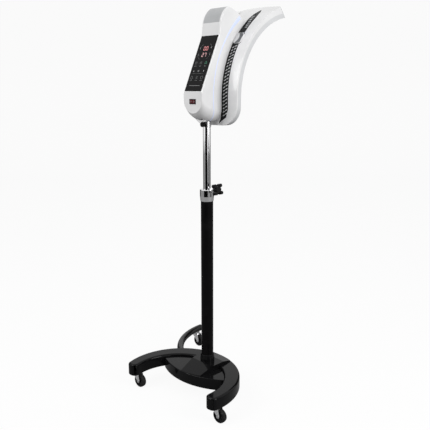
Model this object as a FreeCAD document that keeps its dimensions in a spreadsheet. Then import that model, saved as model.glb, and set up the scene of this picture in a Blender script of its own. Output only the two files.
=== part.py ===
import FreeCAD, Part
import math
import os
import Sketcher

# Rolling hair color processor: an arched infrared hood and its control housing on a telescopic
# column, carried by a weighted horseshoe base with a curved rear leg and four swivel casters.
# The origin lies on the floor under the pole. +Z is up and +X points from the pole to the client.

Vector = FreeCAD.Vector
Rotation = FreeCAD.Rotation
Placement = FreeCAD.Placement

UP = Vector(0, 0, 1)
ALONG_X = Vector(1, 0, 0)
ALONG_Y = Vector(0, 1, 0)
TINY = 0.01
OVERSHOOT = 1  # cutters reach this far past what they cut

# Driving dimensions in millimetres (angles in degrees): alias, value, remark.
DIMENSIONS = [
    # casters
    ("wheel_diameter", 56, "caster wheel over its tyre"),
    ("wheel_width", 20, "tyre and core"),
    ("tyre_thickness", 5, "rubber on the core"),
    ("tyre_round", 4, "rounding of the tread's shoulders"),
    ("axle_diameter", 8, "caster axle"),
    ("axle_head", 13, "rivet heads of the caster axle"),
    ("caster_trail", 17, "axle behind the swivel stem"),
    ("caster_heading", -86, "direction in which the casters trail at rest"),
    ("fork_gap", 24, "between the fork's cheeks"),
    ("fork_cheek", 2, "sheet of the fork"),
    ("crown_underside", 58, "fork crown above the floor"),
    ("crown_radius", 17, "fork crown"),
    ("stem_diameter", 10, "swivel stem"),
    ("stem_length", 30, "swivel stem above its crown"),
    ("socket_wall", 4, "sleeve round the stem"),
    ("socket_flange", 28, "race plate over the crown"),
    # base
    ("base_radius", 247, "outer edge of the horseshoe"),
    ("horseshoe_offset", 155, "its centre in front of the pole"),
    ("horseshoe_side", 6, "its centre beside the pole"),
    ("base_turn", 5.7, "horseshoe turned about its centre"),
    ("inner_radius", 194, "inner edge of the horseshoe"),
    ("inner_shift", 17.5, "centre of the inner edge in front of the outer one's"),
    ("tip_reach", 70, "arm tips in front of the horseshoe centre"),
    ("base_underside", 66, "horseshoe shell above the floor"),
    ("arm_height", 48, "horseshoe shell"),
    ("base_wall", 4, "moulded walls of the base"),
    ("arm_edge_round", 9, "upper edges of the horseshoe"),
    ("tip_round", 21, "upright corners of the arm tips"),
    ("hub_front_radius", 300, "front edge of the hub cover"),
    ("hub_front_reach", 119, "front edge in front of the pole"),
    ("hub_height", 46, "hub cover"),
    ("hub_drop", 10, "hub cover below the top of the arms"),
    ("hub_edge_round", 3, "front edge of the hub cover"),
    ("saddle_rise", 12, "saddle round the pole above the arms"),
    ("saddle_flat", 34, "level part of the saddle in front of and behind the pole"),
    ("saddle_front", 48, "half width of the saddle at its front edge"),
    ("saddle_back", 86, "half width of the saddle at its back edge"),
    ("pan_thickness", 3, "steel floor plate"),
    ("ballast_thickness", 20, "cast weight in the horseshoe"),
    ("ballast_margin", 1, "cast weight clear of the walls and of the leg"),
    ("ballast_gap", 2, "cast weight clear of the stem sleeves and of the pole"),
    ("screw_diameter", 4, "base screws"),
    ("screw_length", 14, "base screws above the floor plate's underside"),
    ("caster_inset", 42, "tip casters behind the arm tips"),
    ("back_caster_angle", 28, "hidden caster round the horseshoe from its middle"),
    # rear leg
    ("leg_diameter", 30, "curved rear leg"),
    ("leg_wall", 2, "its tube wall"),
    ("leg_bend", 297, "radius of its bend"),
    ("leg_centre_x", 283, "centre of its bend"),
    ("leg_centre_y", 45, "centre of its bend"),
    ("leg_outer_angle", 90, "its free end round the bend"),
    ("leg_sweep", 72, "angle that it covers"),
    ("leg_caster_angle", 95, "its caster round the bend"),
    # pole and column
    ("pole_diameter", 50, "lower pole"),
    ("pole_wall", 1.8, "lower pole"),
    ("pole_top", 822, "upper end of the lower pole above the floor"),
    ("boot_diameter", 60, "moulded ring at the foot of the pole"),
    ("boot_height", 29, "the same"),
    ("boot_straight", 11.6, "its cylindrical lower part"),
    ("boot_taper", 2, "its taper above that"),
    ("boot_lip", 1.5, "fall of its upper face"),
    ("boot_edge", 1.2, "its upper edge beside the pole"),
    ("foot_diameter", 90, "welded flange under the pole"),
    ("foot_thickness", 6, "the same"),
    ("column_diameter", 30, "chromed column"),
    ("column_wall", 2, "chromed column"),
    ("column_length", 640, "chromed column"),
    ("column_top", 1123, "upper end of the column above the floor"),
    ("bush_length", 45, "guide bushes"),
    ("bush_flange", 2, "flange of the bush on the pole"),
    ("bush_flange_inset", 0.5, "flange inside the pole's outer face"),
    ("shoe_length", 22.5, "shoe over the column's lower end"),
    ("shoe_base", 3, "closed bottom of the shoe"),
    ("collar_diameter", 57, "chromed clamp collar"),
    ("collar_height", 39, "clamp collar above the pole"),
    ("collar_taper", 17, "tapered foot of the collar"),
    ("collar_skirt", 8, "collar over the end of the pole"),
    ("collar_foot_wall", 1, "skirt at its lower edge"),
    ("collar_edge", 2, "bevels of the collar, upright"),
    ("collar_step", 0.5, "bevels of the collar, level"),
    ("clamp_drop", 7, "clamp screw below the top of the collar"),
    ("clamp_slant", 12, "rise of the clamp screw"),
    ("stud_diameter", 8, "clamp screw"),
    ("stud_tip_gap", 1.28, "released clamp screw from the column's room"),
    ("stud_in_knob", 12, "clamp screw inside the knob"),
    ("lug_short", 12, "collar's lug ends before the knob"),
    ("knob_reach", 52, "inner face of the star knob from the column axis"),
    ("knob_thickness", 17, "star knob"),
    ("knob_hub", 6, "hub on the knob's inner face"),
    ("knob_core", 13, "radius of the star knob's middle"),
    ("lobe_radius", 7, "star knob lobe"),
    ("lobe_distance", 20.5, "lobe centre from the knob's axis"),
    ("knob_lobes", 4, "number of lobes"),
    # neck
    ("neck_diameter", 34, "bright socket on the column"),
    ("neck_cover", 15, "socket below the end of the column"),
    ("neck_roof", 6, "closed top of the socket"),
    ("neck_chamfer", 1, "lower edge of the socket"),
    ("pin_above_column", 28, "tilt pin above the end of the column"),
    ("tongue_thickness", 22, "tongue between the tilt ears"),
    ("tongue_radius", 13, "rounded end of the tongue"),
    ("tilt_pin_diameter", 8, "tilt bolt"),
    ("bolt_head", 14.4, "head of the tilt bolt"),
    ("bolt_head_height", 5, "the same"),
    ("nut_corners", 13.6, "nut of the tilt bolt over its corners"),
    ("nut_height", 6, "the same"),
    ("washer_thickness", 2.3, "friction washers"),
    ("washer_diameter", 25, "friction washers"),
    ("ear_thickness", 3, "tilt bracket sheet"),
    ("bracket_flange", 15, "flanges of the bracket on the hood"),
    ("bracket_rise", 39, "bracket above the pin"),
    ("thumb_drop", 5, "thumb screw below the end of the column"),
    ("thumb_diameter", 19, "thumb screw head"),
    ("thumb_length", 10.5, "thumb screw head"),
    ("thumb_thread", 5, "thumb screw shank"),
    ("thumb_gap", 0.5, "thumb screw head off the socket"),
    ("thumb_chamfer", 1.2, "edges of its head"),
    # housing, measured from the tilt pin
    ("housing_width", 100, "control housing"),
    ("housing_wall", 3, "moulded wall"),
    ("face_reach", 74, "switch face in front of the pin"),
    ("disc_height", 71, "centre of the round switch face above the pin"),
    ("panel_foot", 92, "lower edge of the sloping panel"),
    ("panel_rise", 210, "height of the sloping panel"),
    ("panel_lean", 94, "set-back of the panel's upper edge"),
    ("brow_rise", 39, "plain band over the panel"),
    ("brow_lean", 5, "its set-back"),
    ("apex_reach", 67, "highest point behind the pin"),
    ("apex_height", 406, "highest point above the pin"),
    ("housing_edge_round", 5, "long front edges"),
    ("seam_radius", 385, "joint line of the two mouldings"),
    ("seam_reach", 14, "joint line in front of the pin"),
    ("seam_low_radius", 181, "lower stretch of the joint line"),
    ("seam_gap", 0.3, "between the two mouldings"),
    ("slot_front", 44, "neck slot in front of the pin"),
    ("slot_back", 36, "neck slot behind the pin"),
    ("slot_width", 39, "neck slot"),
    ("panel_width", 91, "glossy control panel"),
    ("panel_margin", 1.5, "housing above and below the panel"),
    ("panel_thickness", 3, "control panel"),
    ("panel_proud", 0.5, "panel over the housing"),
    # hood, measured from the tilt pin
    ("hood_width", 250, "hood across the client's head"),
    ("hood_front_radius", 317, "open inner edge of the hood"),
    ("hood_front_reach", 60.5, "straight inner edge behind the pin"),
    ("hood_spring", 68, "where the arc begins, above the pin"),
    ("hood_depth", 30, "hood thickness at its lower end"),
    ("hood_back_radius", 373, "crowned back"),
    ("hood_back_lift", 2, "centre of the back above the centre of the front"),
    ("crown_drop", 7, "fall of the crowned back to its sides"),
    ("hood_bottom", 37, "lower end of the hood below the pin"),
    ("tip_angle", 81, "upper end of the hood round its arc"),
    ("tip_slope", 28, "upper end leans back by this angle"),
    ("hood_bottom_round", 75, "lower corners"),
    ("hood_tip_round", 18, "upper corners"),
    ("hood_wall", 3, "moulded back"),
    ("rim_thickness", 18, "grey rim"),
    ("rim_width", 14, "grey rim"),
    ("vent_inner", 46, "inner edge of a vent strip from the middle plane"),
    ("vent_outer", 82, "outer edge of a vent strip"),
    ("vent_sink", 0.8, "strip below the hood's back"),
    ("vent_gap", 0.25, "strip in its slot"),
    ("lug_station", 239, "bridge across the vents along the hood's back"),
    ("lug_length", 50, "bridge across the vents"),
    ("lug_rise", 4, "bridge over the hood's back"),
    ("lug_round", 11, "corners of the bridge"),
    ("lug_overlap", 6, "bridge past the strip's outer edge"),
    ("lug_inset", 1, "bridge beside the housing"),
    ("slat_length", 11, "short vent openings"),
    ("slat_width", 4, "vent openings"),
    ("slat_pitch", 9.5, "vent openings along the strip"),
    ("slat_slant", 28, "slant of the short openings"),
    ("slat_row_near", 14, "inner row of short openings past the strip's edge"),
    ("slat_row_far", 26, "outer row of short openings"),
    ("slat_rows_end", 246.2, "short openings end here along the hood's back"),
    ("ladder_start", 298.4, "long openings start here along the back"),
    ("ladder_count", 12, "number of long openings"),
    ("ladder_row", 17, "first long opening past the strip's edge"),
    ("ladder_length", 18, "first long opening, each next one is 1 shorter"),
    ("reflector_setback", 17, "reflector behind the inner edge"),
    ("reflector_sheet", 0.8, "aluminium sheet"),
    ("lamp_diameter", 10, "quartz tube"),
    ("lamp_length", 186, "quartz tube between its holders' outer faces"),
    ("lamp_setback", 10, "tube axis behind the inner edge"),
    ("holder_length", 16, "ceramic lamp holder"),
    ("holder_width", 16, "ceramic lamp holder along the arc"),
    ("holder_front", 6.4, "holder in front of the tube's axis"),
    ("tube_inset", 9.6, "ends of the tube inside the holder's outer face"),
    ("guard_wire", 2.4, "guard wire"),
    ("guard_layer", 2.16, "cross wires behind the long ones"),
    ("guard_spacing", 34, "between the long guard wires"),
    # fan
    ("fan_size", 80, "square fan frame"),
    ("fan_depth", 25, "fan frame"),
    ("fan_station", 68, "fan along the hood's back from the start of its arc"),
    ("fan_standoff", 6, "fan from the hood's back"),
    ("fan_bore", 76, "round duct of the fan frame"),
    ("fan_hub", 30, "rotor hub"),
    ("fan_blades", 7, "rotor blades"),
    ("blade_gap", 1.2, "between blade tips and duct"),
    ("fan_shaft", 4, "rotor shaft"),
    # electrics
    ("board_depth", 12, "control board below the panel's face"),
    ("board_width", 74, "control board"),
    ("board_length", 150, "control board"),
    ("power_station", 215, "power module along the hood's back"),
    ("power_height", 26, "power module"),
    ("inlet_height", 74, "mains inlet above the pin"),
    ("inlet_width", 28, "mains inlet body"),
    # switch
    ("switch_rise", 55, "rocker switch above the pin"),
    ("switch_width", 33, "rocker switch frame"),
    ("switch_height", 19, "rocker switch frame"),
    ("switch_rim", 2.6, "frame round the rocker"),
    ("switch_depth", 20, "switch body behind the face"),
    ("rocker_throw", 16, "travel of the rocker"),
    # fits
    ("running_fit", 0.05, "radial clearance of shafts and pins"),
    ("slide_fit", 0.08, "radial clearance of the column in its bushes"),
    ("gap", 0.3, "between curved faces that don't touch"),
]


class Size:
    """A length that carries its value and the sheet formula that gives it."""

    def __init__(self, value, formula):
        self.value = value
        self.formula = formula

    @staticmethod
    def of(number):
        return number if isinstance(number, Size) else Size(float(number), repr(float(number)))

    def __add__(self, other):
        other = Size.of(other)
        return Size(self.value + other.value, f"({self.formula} + {other.formula})")

    def __sub__(self, other):
        other = Size.of(other)
        return Size(self.value - other.value, f"({self.formula} - {other.formula})")

    def __mul__(self, other):
        other = Size.of(other)
        return Size(self.value * other.value, f"({self.formula} * {other.formula})")

    def __truediv__(self, other):
        other = Size.of(other)
        return Size(self.value / other.value, f"({self.formula} / {other.formula})")

    def __radd__(self, other):
        return Size.of(other) + self

    def __rsub__(self, other):
        return Size.of(other) - self

    def __rmul__(self, other):
        return Size.of(other) * self

    def __neg__(self):
        return Size(0.0, "0") - self


class Namespace:
    """Holds named values as attributes."""


doc = FreeCAD.newDocument("hair_color_processor")
sheet = doc.addObject("Spreadsheet::Sheet", "Dimensions")
for row, (alias, number, remark) in enumerate(DIMENSIONS, start=1):
    sheet.set(f"A{row}", alias)
    sheet.set(f"B{row}", str(number))
    sheet.set(f"C{row}", remark)
    sheet.setAlias(f"B{row}", alias)
doc.recompute()

bound = Namespace()  # sizes for features and sketches, tied to the sheet
mm = Namespace()  # the same sizes as plain numbers
for alias, number, remark in DIMENSIONS:
    cell_value = float(sheet.get(alias))
    setattr(mm, alias, cell_value)
    setattr(bound, alias, Size(cell_value, f"Dimensions.{alias}"))

# Heights above the floor that several pieces share.
pan_bottom = bound.base_underside - bound.pan_thickness
arm_top = bound.base_underside + bound.arm_height
hub_top = arm_top - bound.hub_drop
hub_bottom = hub_top - bound.hub_height
leg_height = bound.base_underside + bound.leg_diameter / 2 + 1
collar_top = bound.pole_top + bound.collar_height
pin_height = bound.column_top + bound.pin_above_column
middle_radius = (bound.base_radius + bound.inner_radius) / 2
middle_shift = bound.inner_shift / 2
saddle_top = arm_top + bound.saddle_rise

sub_parts = []


# ---------------------------------------------------------------- helpers


def bind(thing, **sizes):
    """Sets properties and ties each to the sheet."""
    for name, size in sizes.items():
        size = Size.of(size)
        setattr(thing, name, size.value)
        thing.setExpression(name, size.formula)


def place(thing, x=0, y=0, z=0, rotation=None):
    """Puts a sub-part at x, y, z, tied to the sheet."""
    x, y, z = Size.of(x), Size.of(y), Size.of(z)
    thing.Placement = Placement(Vector(x.value, y.value, z.value), rotation or Rotation())
    for axis, size in (("x", x), ("y", y), ("z", z)):
        thing.setExpression(f"Placement.Base.{axis}", size.formula)


def new_body(label):
    body = doc.addObject("PartDesign::Body", label)
    body.Label = label
    sub_parts.append(body)
    return body


def origin_feature(body, role):
    return next(o for o in body.Origin.OriginFeatures if o.Role == role)


def new_sketch(body, role, name, offset=None):
    """A sketch on one of the body's own origin planes, lifted by offset along its normal."""
    sketch = body.newObject("Sketcher::SketchObject", name)
    sketch.AttachmentSupport = [(origin_feature(body, role), "")]
    sketch.MapMode = "FlatFace"
    if offset is not None:
        offset = Size.of(offset)
        sketch.AttachmentOffset = Placement(Vector(0, 0, offset.value), Rotation())
        sketch.setExpression("AttachmentOffset.Base.z", offset.formula)
    return sketch


def tie(sketch, kind, *where_and_size):
    """Adds a dimension constraint whose value comes from the sheet."""
    size = Size.of(where_and_size[-1])
    index = sketch.addConstraint(Sketcher.Constraint(kind, *where_and_size[:-1], size.value))
    sketch.setExpression(f"Constraints[{index}]", size.formula)


def draw_polygon(sketch, corners):
    """A closed outline of straight lines. Each corner is a pair of sizes."""
    corners = [(Size.of(x), Size.of(y)) for x, y in corners]
    first = sketch.GeometryCount
    count = len(corners)
    for i, (x, y) in enumerate(corners):
        end_x, end_y = corners[(i + 1) % count]
        line = Part.LineSegment(Vector(x.value, y.value, 0), Vector(end_x.value, end_y.value, 0))
        sketch.addGeometry(line, False)
    for i in range(count):
        following = first + (i + 1) % count
        sketch.addConstraint(Sketcher.Constraint("Coincident", first + i, 2, following, 1))
    for i, (x, y) in enumerate(corners):
        tie(sketch, "DistanceX", -1, 1, first + i, 1, x)
        tie(sketch, "DistanceY", -1, 1, first + i, 1, y)


def draw_circle(sketch, radius, x=0, y=0):
    radius, x, y = Size.of(radius), Size.of(x), Size.of(y)
    index = sketch.addGeometry(Part.Circle(Vector(x.value, y.value, 0), UP, radius.value), False)
    tie(sketch, "Radius", index, radius)
    tie(sketch, "DistanceX", -1, 1, index, 3, x)
    tie(sketch, "DistanceY", -1, 1, index, 3, y)


def pad(body, sketch, length, name="Pad", midplane=False, reverse=False):
    feature = body.newObject("PartDesign::Pad", name)
    feature.Profile = sketch
    feature.Reversed = reverse
    feature.Midplane = midplane
    bind(feature, Length=length)
    return feature


def pocket(body, sketch, length=None, name="Pocket", midplane=False, reverse=False):
    feature = body.newObject("PartDesign::Pocket", name)
    feature.Profile = sketch
    feature.Reversed = reverse
    feature.Midplane = midplane
    if length is None:
        feature.Type = "ThroughAll"
    else:
        bind(feature, Length=length)
    return feature


def revolve(body, sketch, axis="Z_Axis", angle=360, name="Revolution"):
    feature = body.newObject("PartDesign::Revolution", name)
    feature.Profile = sketch
    feature.ReferenceAxis = (origin_feature(body, axis), [""])
    bind(feature, Angle=angle)
    return feature


def round_edges(body, base, radius, chosen, name="Fillet"):
    """Rounds the edges of the last feature that the test chooses."""
    doc.recompute()
    names = [f"Edge{i}" for i, edge in enumerate(base.Shape.Edges, start=1) if chosen(edge)]
    if not names:
        raise RuntimeError(f"{body.Label}: no edge to round")
    feature = body.newObject("PartDesign::Fillet", name)
    feature.Base = (base, names)
    bind(feature, Radius=radius)
    return feature


def turned(label, corners, plane="XZ_Plane", axis="Z_Axis"):
    """A turned piece: its half profile as pairs of radius and height."""
    body = new_body(label)
    sketch = new_sketch(body, plane, f"{label}_profile")
    draw_polygon(sketch, corners)
    revolve(body, sketch, axis)
    return body


def ring_profile(outer, inner, bottom, top):
    return [(inner, bottom), (outer, bottom), (outer, top), (inner, top)]


def feature_from(label, shape, z=None, x=None, y=None):
    """A sub-part whose shape is worked out in code. Its place is tied to the sheet."""
    feature = doc.addObject("Part::Feature", label)
    feature.Label = label
    feature.Shape = shape
    place(feature, x or 0, y or 0, z or 0)
    sub_parts.append(feature)
    return feature


def drilled(label, base, tool_shape):
    """A sub-part that is a body less a shape that is worked out in code."""
    tool = doc.addObject("Part::Feature", f"{label}_tool")
    tool.Shape = tool_shape
    cut = doc.addObject("Part::Cut", label)
    cut.Label = label
    cut.Base = base
    cut.Tool = tool
    sub_parts.append(cut)
    return cut


def box(x0, x1, y0, y1, z0, z1):
    return Part.makeBox(x1 - x0, y1 - y0, z1 - z0, Vector(x0, y0, z0))


def settled(shape):
    """The same shape with its placement worked into its geometry."""
    matrix = shape.Placement.toMatrix()
    shape.Placement = Placement()
    return shape.transformed(matrix, copy=True)


def cylinder(radius, start, direction, length):
    return Part.makeCylinder(radius, length, start, direction)


def joined(shapes):
    first, *others = shapes
    return first.fuse(others).removeSplitter() if others else first


def prism(points, direction, inset=0):
    """A solid from a closed outline of corners, moved inwards, swept along a direction."""
    outline = Part.makePolygon([*points, points[0]])
    if inset:
        outline = outline.makeOffset2D(-inset, 2)
    return Part.Face(outline).extrude(direction)


# ---------------------------------------------------------------- casters


def around(radius, angle, function):
    """A radius times the sine or cosine of an angle in degrees."""
    value = radius.value * getattr(math, function)(math.radians(angle.value))
    return Size(value, f"({radius.formula} * {function}({angle.formula}))")


def from_horseshoe(x, y):
    """A place on the floor from its place in the turned frame of the horseshoe."""
    turn = bound.base_turn
    world_x = around(x, turn, "cos") - around(y, turn, "sin") - bound.horseshoe_offset
    world_y = around(x, turn, "sin") + around(y, turn, "cos") + bound.horseshoe_side
    return world_x, world_y


tip_caster_x = bound.caster_inset - bound.tip_reach
caster_reach = tip_caster_x + middle_shift
tip_caster_y = middle_radius * middle_radius - caster_reach * caster_reach
tip_caster_y = Size(math.sqrt(tip_caster_y.value), f"sqrt({tip_caster_y.formula})")

CASTERS = {
    "left": from_horseshoe(tip_caster_x, tip_caster_y),
    "right": from_horseshoe(tip_caster_x, -tip_caster_y),
    "back": from_horseshoe(
        around(middle_radius, bound.back_caster_angle, "cos") - middle_shift,
        -around(middle_radius, bound.back_caster_angle, "sin"),
    ),
    "leg": (
        bound.leg_centre_x + around(bound.leg_bend, bound.leg_caster_angle, "cos"),
        bound.leg_centre_y + around(bound.leg_bend, bound.leg_caster_angle, "sin"),
    ),
}
heading = Rotation(UP, mm.caster_heading)
wheel_radius = bound.wheel_diameter / 2
crown_top = bound.crown_underside + bound.fork_cheek
socket_outer = bound.stem_diameter / 2 + bound.socket_wall


def caster_fork(side, x, y):
    """Pressed fork: a crown plate, two cheeks down to the axle, and the swivel stem."""
    body = new_body(f"caster_fork_{side}")
    outline = new_sketch(body, "XZ_Plane", f"fork_side_{side}")
    boss = bound.axle_diameter * 0.95
    half_boss = boss * 0.7
    draw_polygon(
        outline,
        [
            (-bound.crown_radius, bound.crown_underside),
            (bound.caster_trail - boss, wheel_radius + half_boss),
            (bound.caster_trail - half_boss, wheel_radius - half_boss),
            (bound.caster_trail + half_boss, wheel_radius - half_boss),
            (bound.caster_trail + boss, wheel_radius + half_boss),
            (bound.crown_radius + 1, bound.crown_underside),
            (bound.crown_radius + 1, crown_top),
            (-bound.crown_radius, crown_top),
        ],
    )
    pad(body, outline, bound.fork_gap + bound.fork_cheek * 2, f"fork_block_{side}", midplane=True)
    inside = new_sketch(body, "XY_Plane", f"fork_inside_{side}", bound.crown_underside)
    reach = bound.wheel_diameter
    half_gap = bound.fork_gap / 2
    draw_polygon(
        inside, [(-reach, -half_gap), (reach, -half_gap), (reach, half_gap), (-reach, half_gap)]
    )
    pocket(body, inside, bound.crown_underside, f"fork_opening_{side}")
    axle = new_sketch(body, "XZ_Plane", f"fork_axle_{side}")
    draw_circle(
        axle, bound.axle_diameter / 2 + bound.running_fit, bound.caster_trail, wheel_radius
    )
    pocket(body, axle, bound.fork_gap * 2, f"axle_hole_{side}", midplane=True)
    stem = new_sketch(body, "XY_Plane", f"fork_stem_{side}", crown_top)
    draw_circle(stem, bound.stem_diameter / 2)
    pad(body, stem, bound.stem_length, f"stem_{side}")
    place(body, x, y, 0, heading)
    body.setExpression("Placement.Rotation.Angle", "Dimensions.caster_heading")


def caster_wheel(side, x, y):
    """Core with a waisted web, and the tyre round it."""
    half_width = bound.wheel_width / 2
    core_radius = wheel_radius - bound.tyre_thickness
    bore = bound.axle_diameter / 2 + bound.running_fit
    hub_radius = bound.axle_diameter
    core = turned(
        f"caster_core_{side}",
        [
            (bore, -half_width),
            (hub_radius, -half_width),
            (hub_radius + 1, -half_width * 0.55),
            (core_radius - 3, -half_width * 0.55),
            (core_radius - 2, -half_width),
            (core_radius, -half_width),
            (core_radius, half_width),
            (core_radius - 2, half_width),
            (core_radius - 3, half_width * 0.55),
            (hub_radius + 1, half_width * 0.55),
            (hub_radius, half_width),
            (bore, half_width),
        ],
    )
    shoulder = bound.tyre_round
    tyre = turned(
        f"caster_tyre_{side}",
        [
            (core_radius, -half_width),
            (wheel_radius - shoulder * 0.8, -half_width),
            (wheel_radius - shoulder * 0.2, -half_width + shoulder * 0.5),
            (wheel_radius, -half_width + shoulder * 1.4),
            (wheel_radius, half_width - shoulder * 1.4),
            (wheel_radius - shoulder * 0.2, half_width - shoulder * 0.5),
            (wheel_radius - shoulder * 0.8, half_width),
            (core_radius, half_width),
        ],
    )
    pin_half = bound.fork_gap / 2 + bound.fork_cheek + bound.running_fit
    axle = turned(
        f"caster_axle_{side}",
        [
            (0, -pin_half - 1.5),
            (bound.axle_head / 2 - 1, -pin_half - 1.5),
            (bound.axle_head / 2, -pin_half),
            (bound.axle_diameter / 2, -pin_half),
            (bound.axle_diameter / 2, pin_half),
            (bound.axle_head / 2, pin_half),
            (bound.axle_head / 2 - 1, pin_half + 1.5),
            (0, pin_half + 1.5),
        ],
    )
    lying = heading * Rotation(ALONG_X, 90)
    axle_x = x + around(bound.caster_trail, bound.caster_heading, "cos")
    axle_y = y + around(bound.caster_trail, bound.caster_heading, "sin")
    for piece in (core, tyre, axle):
        place(piece, axle_x, axle_y, wheel_radius, lying)


def caster_sockets():
    """Race plate and sleeve of each swivel stem, one solid for each caster."""
    sockets = []
    crown_clearance = 0.2
    bottom = crown_top.value + crown_clearance
    bore_radius = mm.stem_diameter / 2 + mm.running_fit
    sleeve_top = crown_top.value + mm.stem_length + 1
    for side, (x, y) in CASTERS.items():
        seat = leg_height.value - mm.leg_diameter / 2 if side == "leg" else pan_bottom.value
        centre = Vector(x.value, y.value, bottom)
        flange = cylinder(mm.socket_flange / 2, centre, UP, seat - bottom)
        if side == "leg":
            saddle = cylinder(mm.socket_flange / 2, centre, UP, seat - bottom + 5)
            flange = saddle.cut(leg_tube_solid(mm.running_fit))
        sleeve = cylinder(socket_outer.value, centre, UP, sleeve_top - bottom)
        bore = cylinder(bore_radius, centre, UP, sleeve_top)
        sockets.append(flange.fuse(sleeve).cut(bore))
    feature_from("caster_sockets", Part.makeCompound(sockets))


# ---------------------------------------------------------------- base


def horseshoe(body, name, inset, offset):
    """Sketch of the horseshoe's outline in its own frame, moved inwards by inset."""
    sketch = new_sketch(body, "XY_Plane", name, offset)
    outer = bound.base_radius - inset
    inner = bound.inner_radius + inset
    tip_x = inset - bound.tip_reach
    centres = ((outer, Size.of(0)), (inner, bound.inner_shift))
    arcs = []
    for radius, shift in centres:
        reach = tip_x.value + shift.value
        end = math.atan2(math.sqrt(radius.value**2 - reach**2), reach)
        circle = Part.Circle(Vector(-shift.value, 0, 0), UP, radius.value)
        arcs.append(Part.ArcOfCircle(circle, -end, end))
        sketch.addGeometry(arcs[-1], False)
    big, small = arcs
    for start, end, vertex in (
        (big.StartPoint, small.StartPoint, 1),
        (big.EndPoint, small.EndPoint, 2),
    ):
        line = sketch.addGeometry(Part.LineSegment(start, end), False)
        sketch.addConstraint(Sketcher.Constraint("Coincident", line, 1, 0, vertex))
        sketch.addConstraint(Sketcher.Constraint("Coincident", line, 2, 1, vertex))
        sketch.addConstraint(Sketcher.Constraint("Vertical", line))
    for arc, (radius, shift) in enumerate(centres):
        tie(sketch, "Radius", arc, radius)
        tie(sketch, "DistanceX", -1, 1, arc, 3, -shift)
        tie(sketch, "DistanceY", -1, 1, arc, 3, 0)
    tie(sketch, "DistanceX", -1, 1, 0, 1, tip_x)
    tie(sketch, "DistanceX", -1, 1, 0, 2, tip_x)
    return sketch


def base_shell():
    """Moulded horseshoe, open below, with round corners at its tips and soft upper edges."""
    body = new_body("horseshoe_moulding")
    sub_parts.remove(body)
    outline = horseshoe(body, "horseshoe_outline", Size.of(0), bound.base_underside)
    block = pad(body, outline, bound.arm_height, "horseshoe_block")

    def at_tip_corner(edge):
        upright = abs(edge.BoundBox.ZLength - mm.arm_height) < TINY
        return upright and abs(edge.CenterOfMass.x + mm.tip_reach) < TINY

    rounded = round_edges(body, block, bound.tip_round, at_tip_corner, "tip_corners")
    top = arm_top.value

    def on_top(edge):
        return edge.BoundBox.ZMin > top - TINY

    round_edges(body, rounded, bound.arm_edge_round, on_top, "upper_edges")
    hollow = horseshoe(body, "horseshoe_hollow", bound.base_wall, bound.base_underside)
    pocket(body, hollow, bound.arm_height - bound.base_wall, "hollow", reverse=True)
    place(body, -bound.horseshoe_offset, bound.horseshoe_side, 0, Rotation(UP, mm.base_turn))
    body.setExpression("Placement.Rotation.Angle", "Dimensions.base_turn")
    drilled("base_shell", body, leg_tube_solid(mm.gap).fuse(pole_room(mm.gap)))


def pole_room(clearance):
    """Space of the pole and of its foot inside the base."""
    floor = Vector(0, 0, mm.base_underside)
    foot = cylinder(mm.foot_diameter / 2 + clearance, floor, UP, mm.foot_thickness + clearance)
    return foot.fuse(cylinder(mm.pole_diameter / 2 + clearance, floor, UP, 2 * mm.arm_height))


def disc(radius, x=0, y=0):
    """Flat disc at height zero."""
    return Part.Face(Part.Wire(Part.makeCircle(radius, Vector(x, y, 0), UP)))


def inner_centre():
    """Centre of the horseshoe's inner edge."""
    x, y = from_horseshoe(-bound.inner_shift, Size.of(0))
    return Vector(x.value, y.value, 0)


def hub_centre():
    """Centre of the hub's bowed front edge."""
    reach = bound.hub_front_radius - bound.hub_front_reach + bound.horseshoe_offset
    x, y = from_horseshoe(reach, Size.of(0))
    return Vector(x.value, y.value, 0)


def with_horseshoe(shape):
    """Moves a shape from the horseshoe's own frame to its place."""
    shape.Placement = Placement(
        Vector(-mm.horseshoe_offset, mm.horseshoe_side, 0), Rotation(UP, mm.base_turn)
    )
    return settled(shape)


def base_pan_plate(inset, hub_inset):
    """Flat plate under horseshoe and hub together, at height zero."""
    tip_x = inset - mm.tip_reach
    span = 2 * mm.base_radius
    up = Vector(0, 0, mm.pan_thickness)
    ring = disc(mm.base_radius - inset).cut(disc(mm.inner_radius + inset, -mm.inner_shift))
    ring = ring.common(Part.makePlane(2 * span, 2 * span, Vector(tip_x, -span, 0))).extrude(up)
    corners = [
        edge
        for edge in ring.Edges
        if abs(edge.BoundBox.ZLength - mm.pan_thickness) < TINY
        and abs(edge.CenterOfMass.x - tip_x) < TINY
    ]
    ring = with_horseshoe(ring.makeFillet(mm.tip_round - inset, corners))
    centre = inner_centre()
    lens = disc(mm.inner_radius + inset + 1, centre.x, centre.y)
    front = hub_centre()
    lens = lens.common(disc(mm.hub_front_radius - hub_inset, front.x, front.y))
    return ring.fuse(lens.extrude(up)).removeSplitter()


def hub_lens(z_low, height, front_inset, side_grow):
    """Lens between the horseshoe's inner edge and the hub's bowed front edge."""
    inner = mm.inner_radius - mm.gap + side_grow
    socket = cylinder(inner, inner_centre() + UP * z_low, UP, height)
    front = cylinder(mm.hub_front_radius - front_inset, hub_centre() + UP * z_low, UP, height)
    return socket.common(front)


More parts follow.
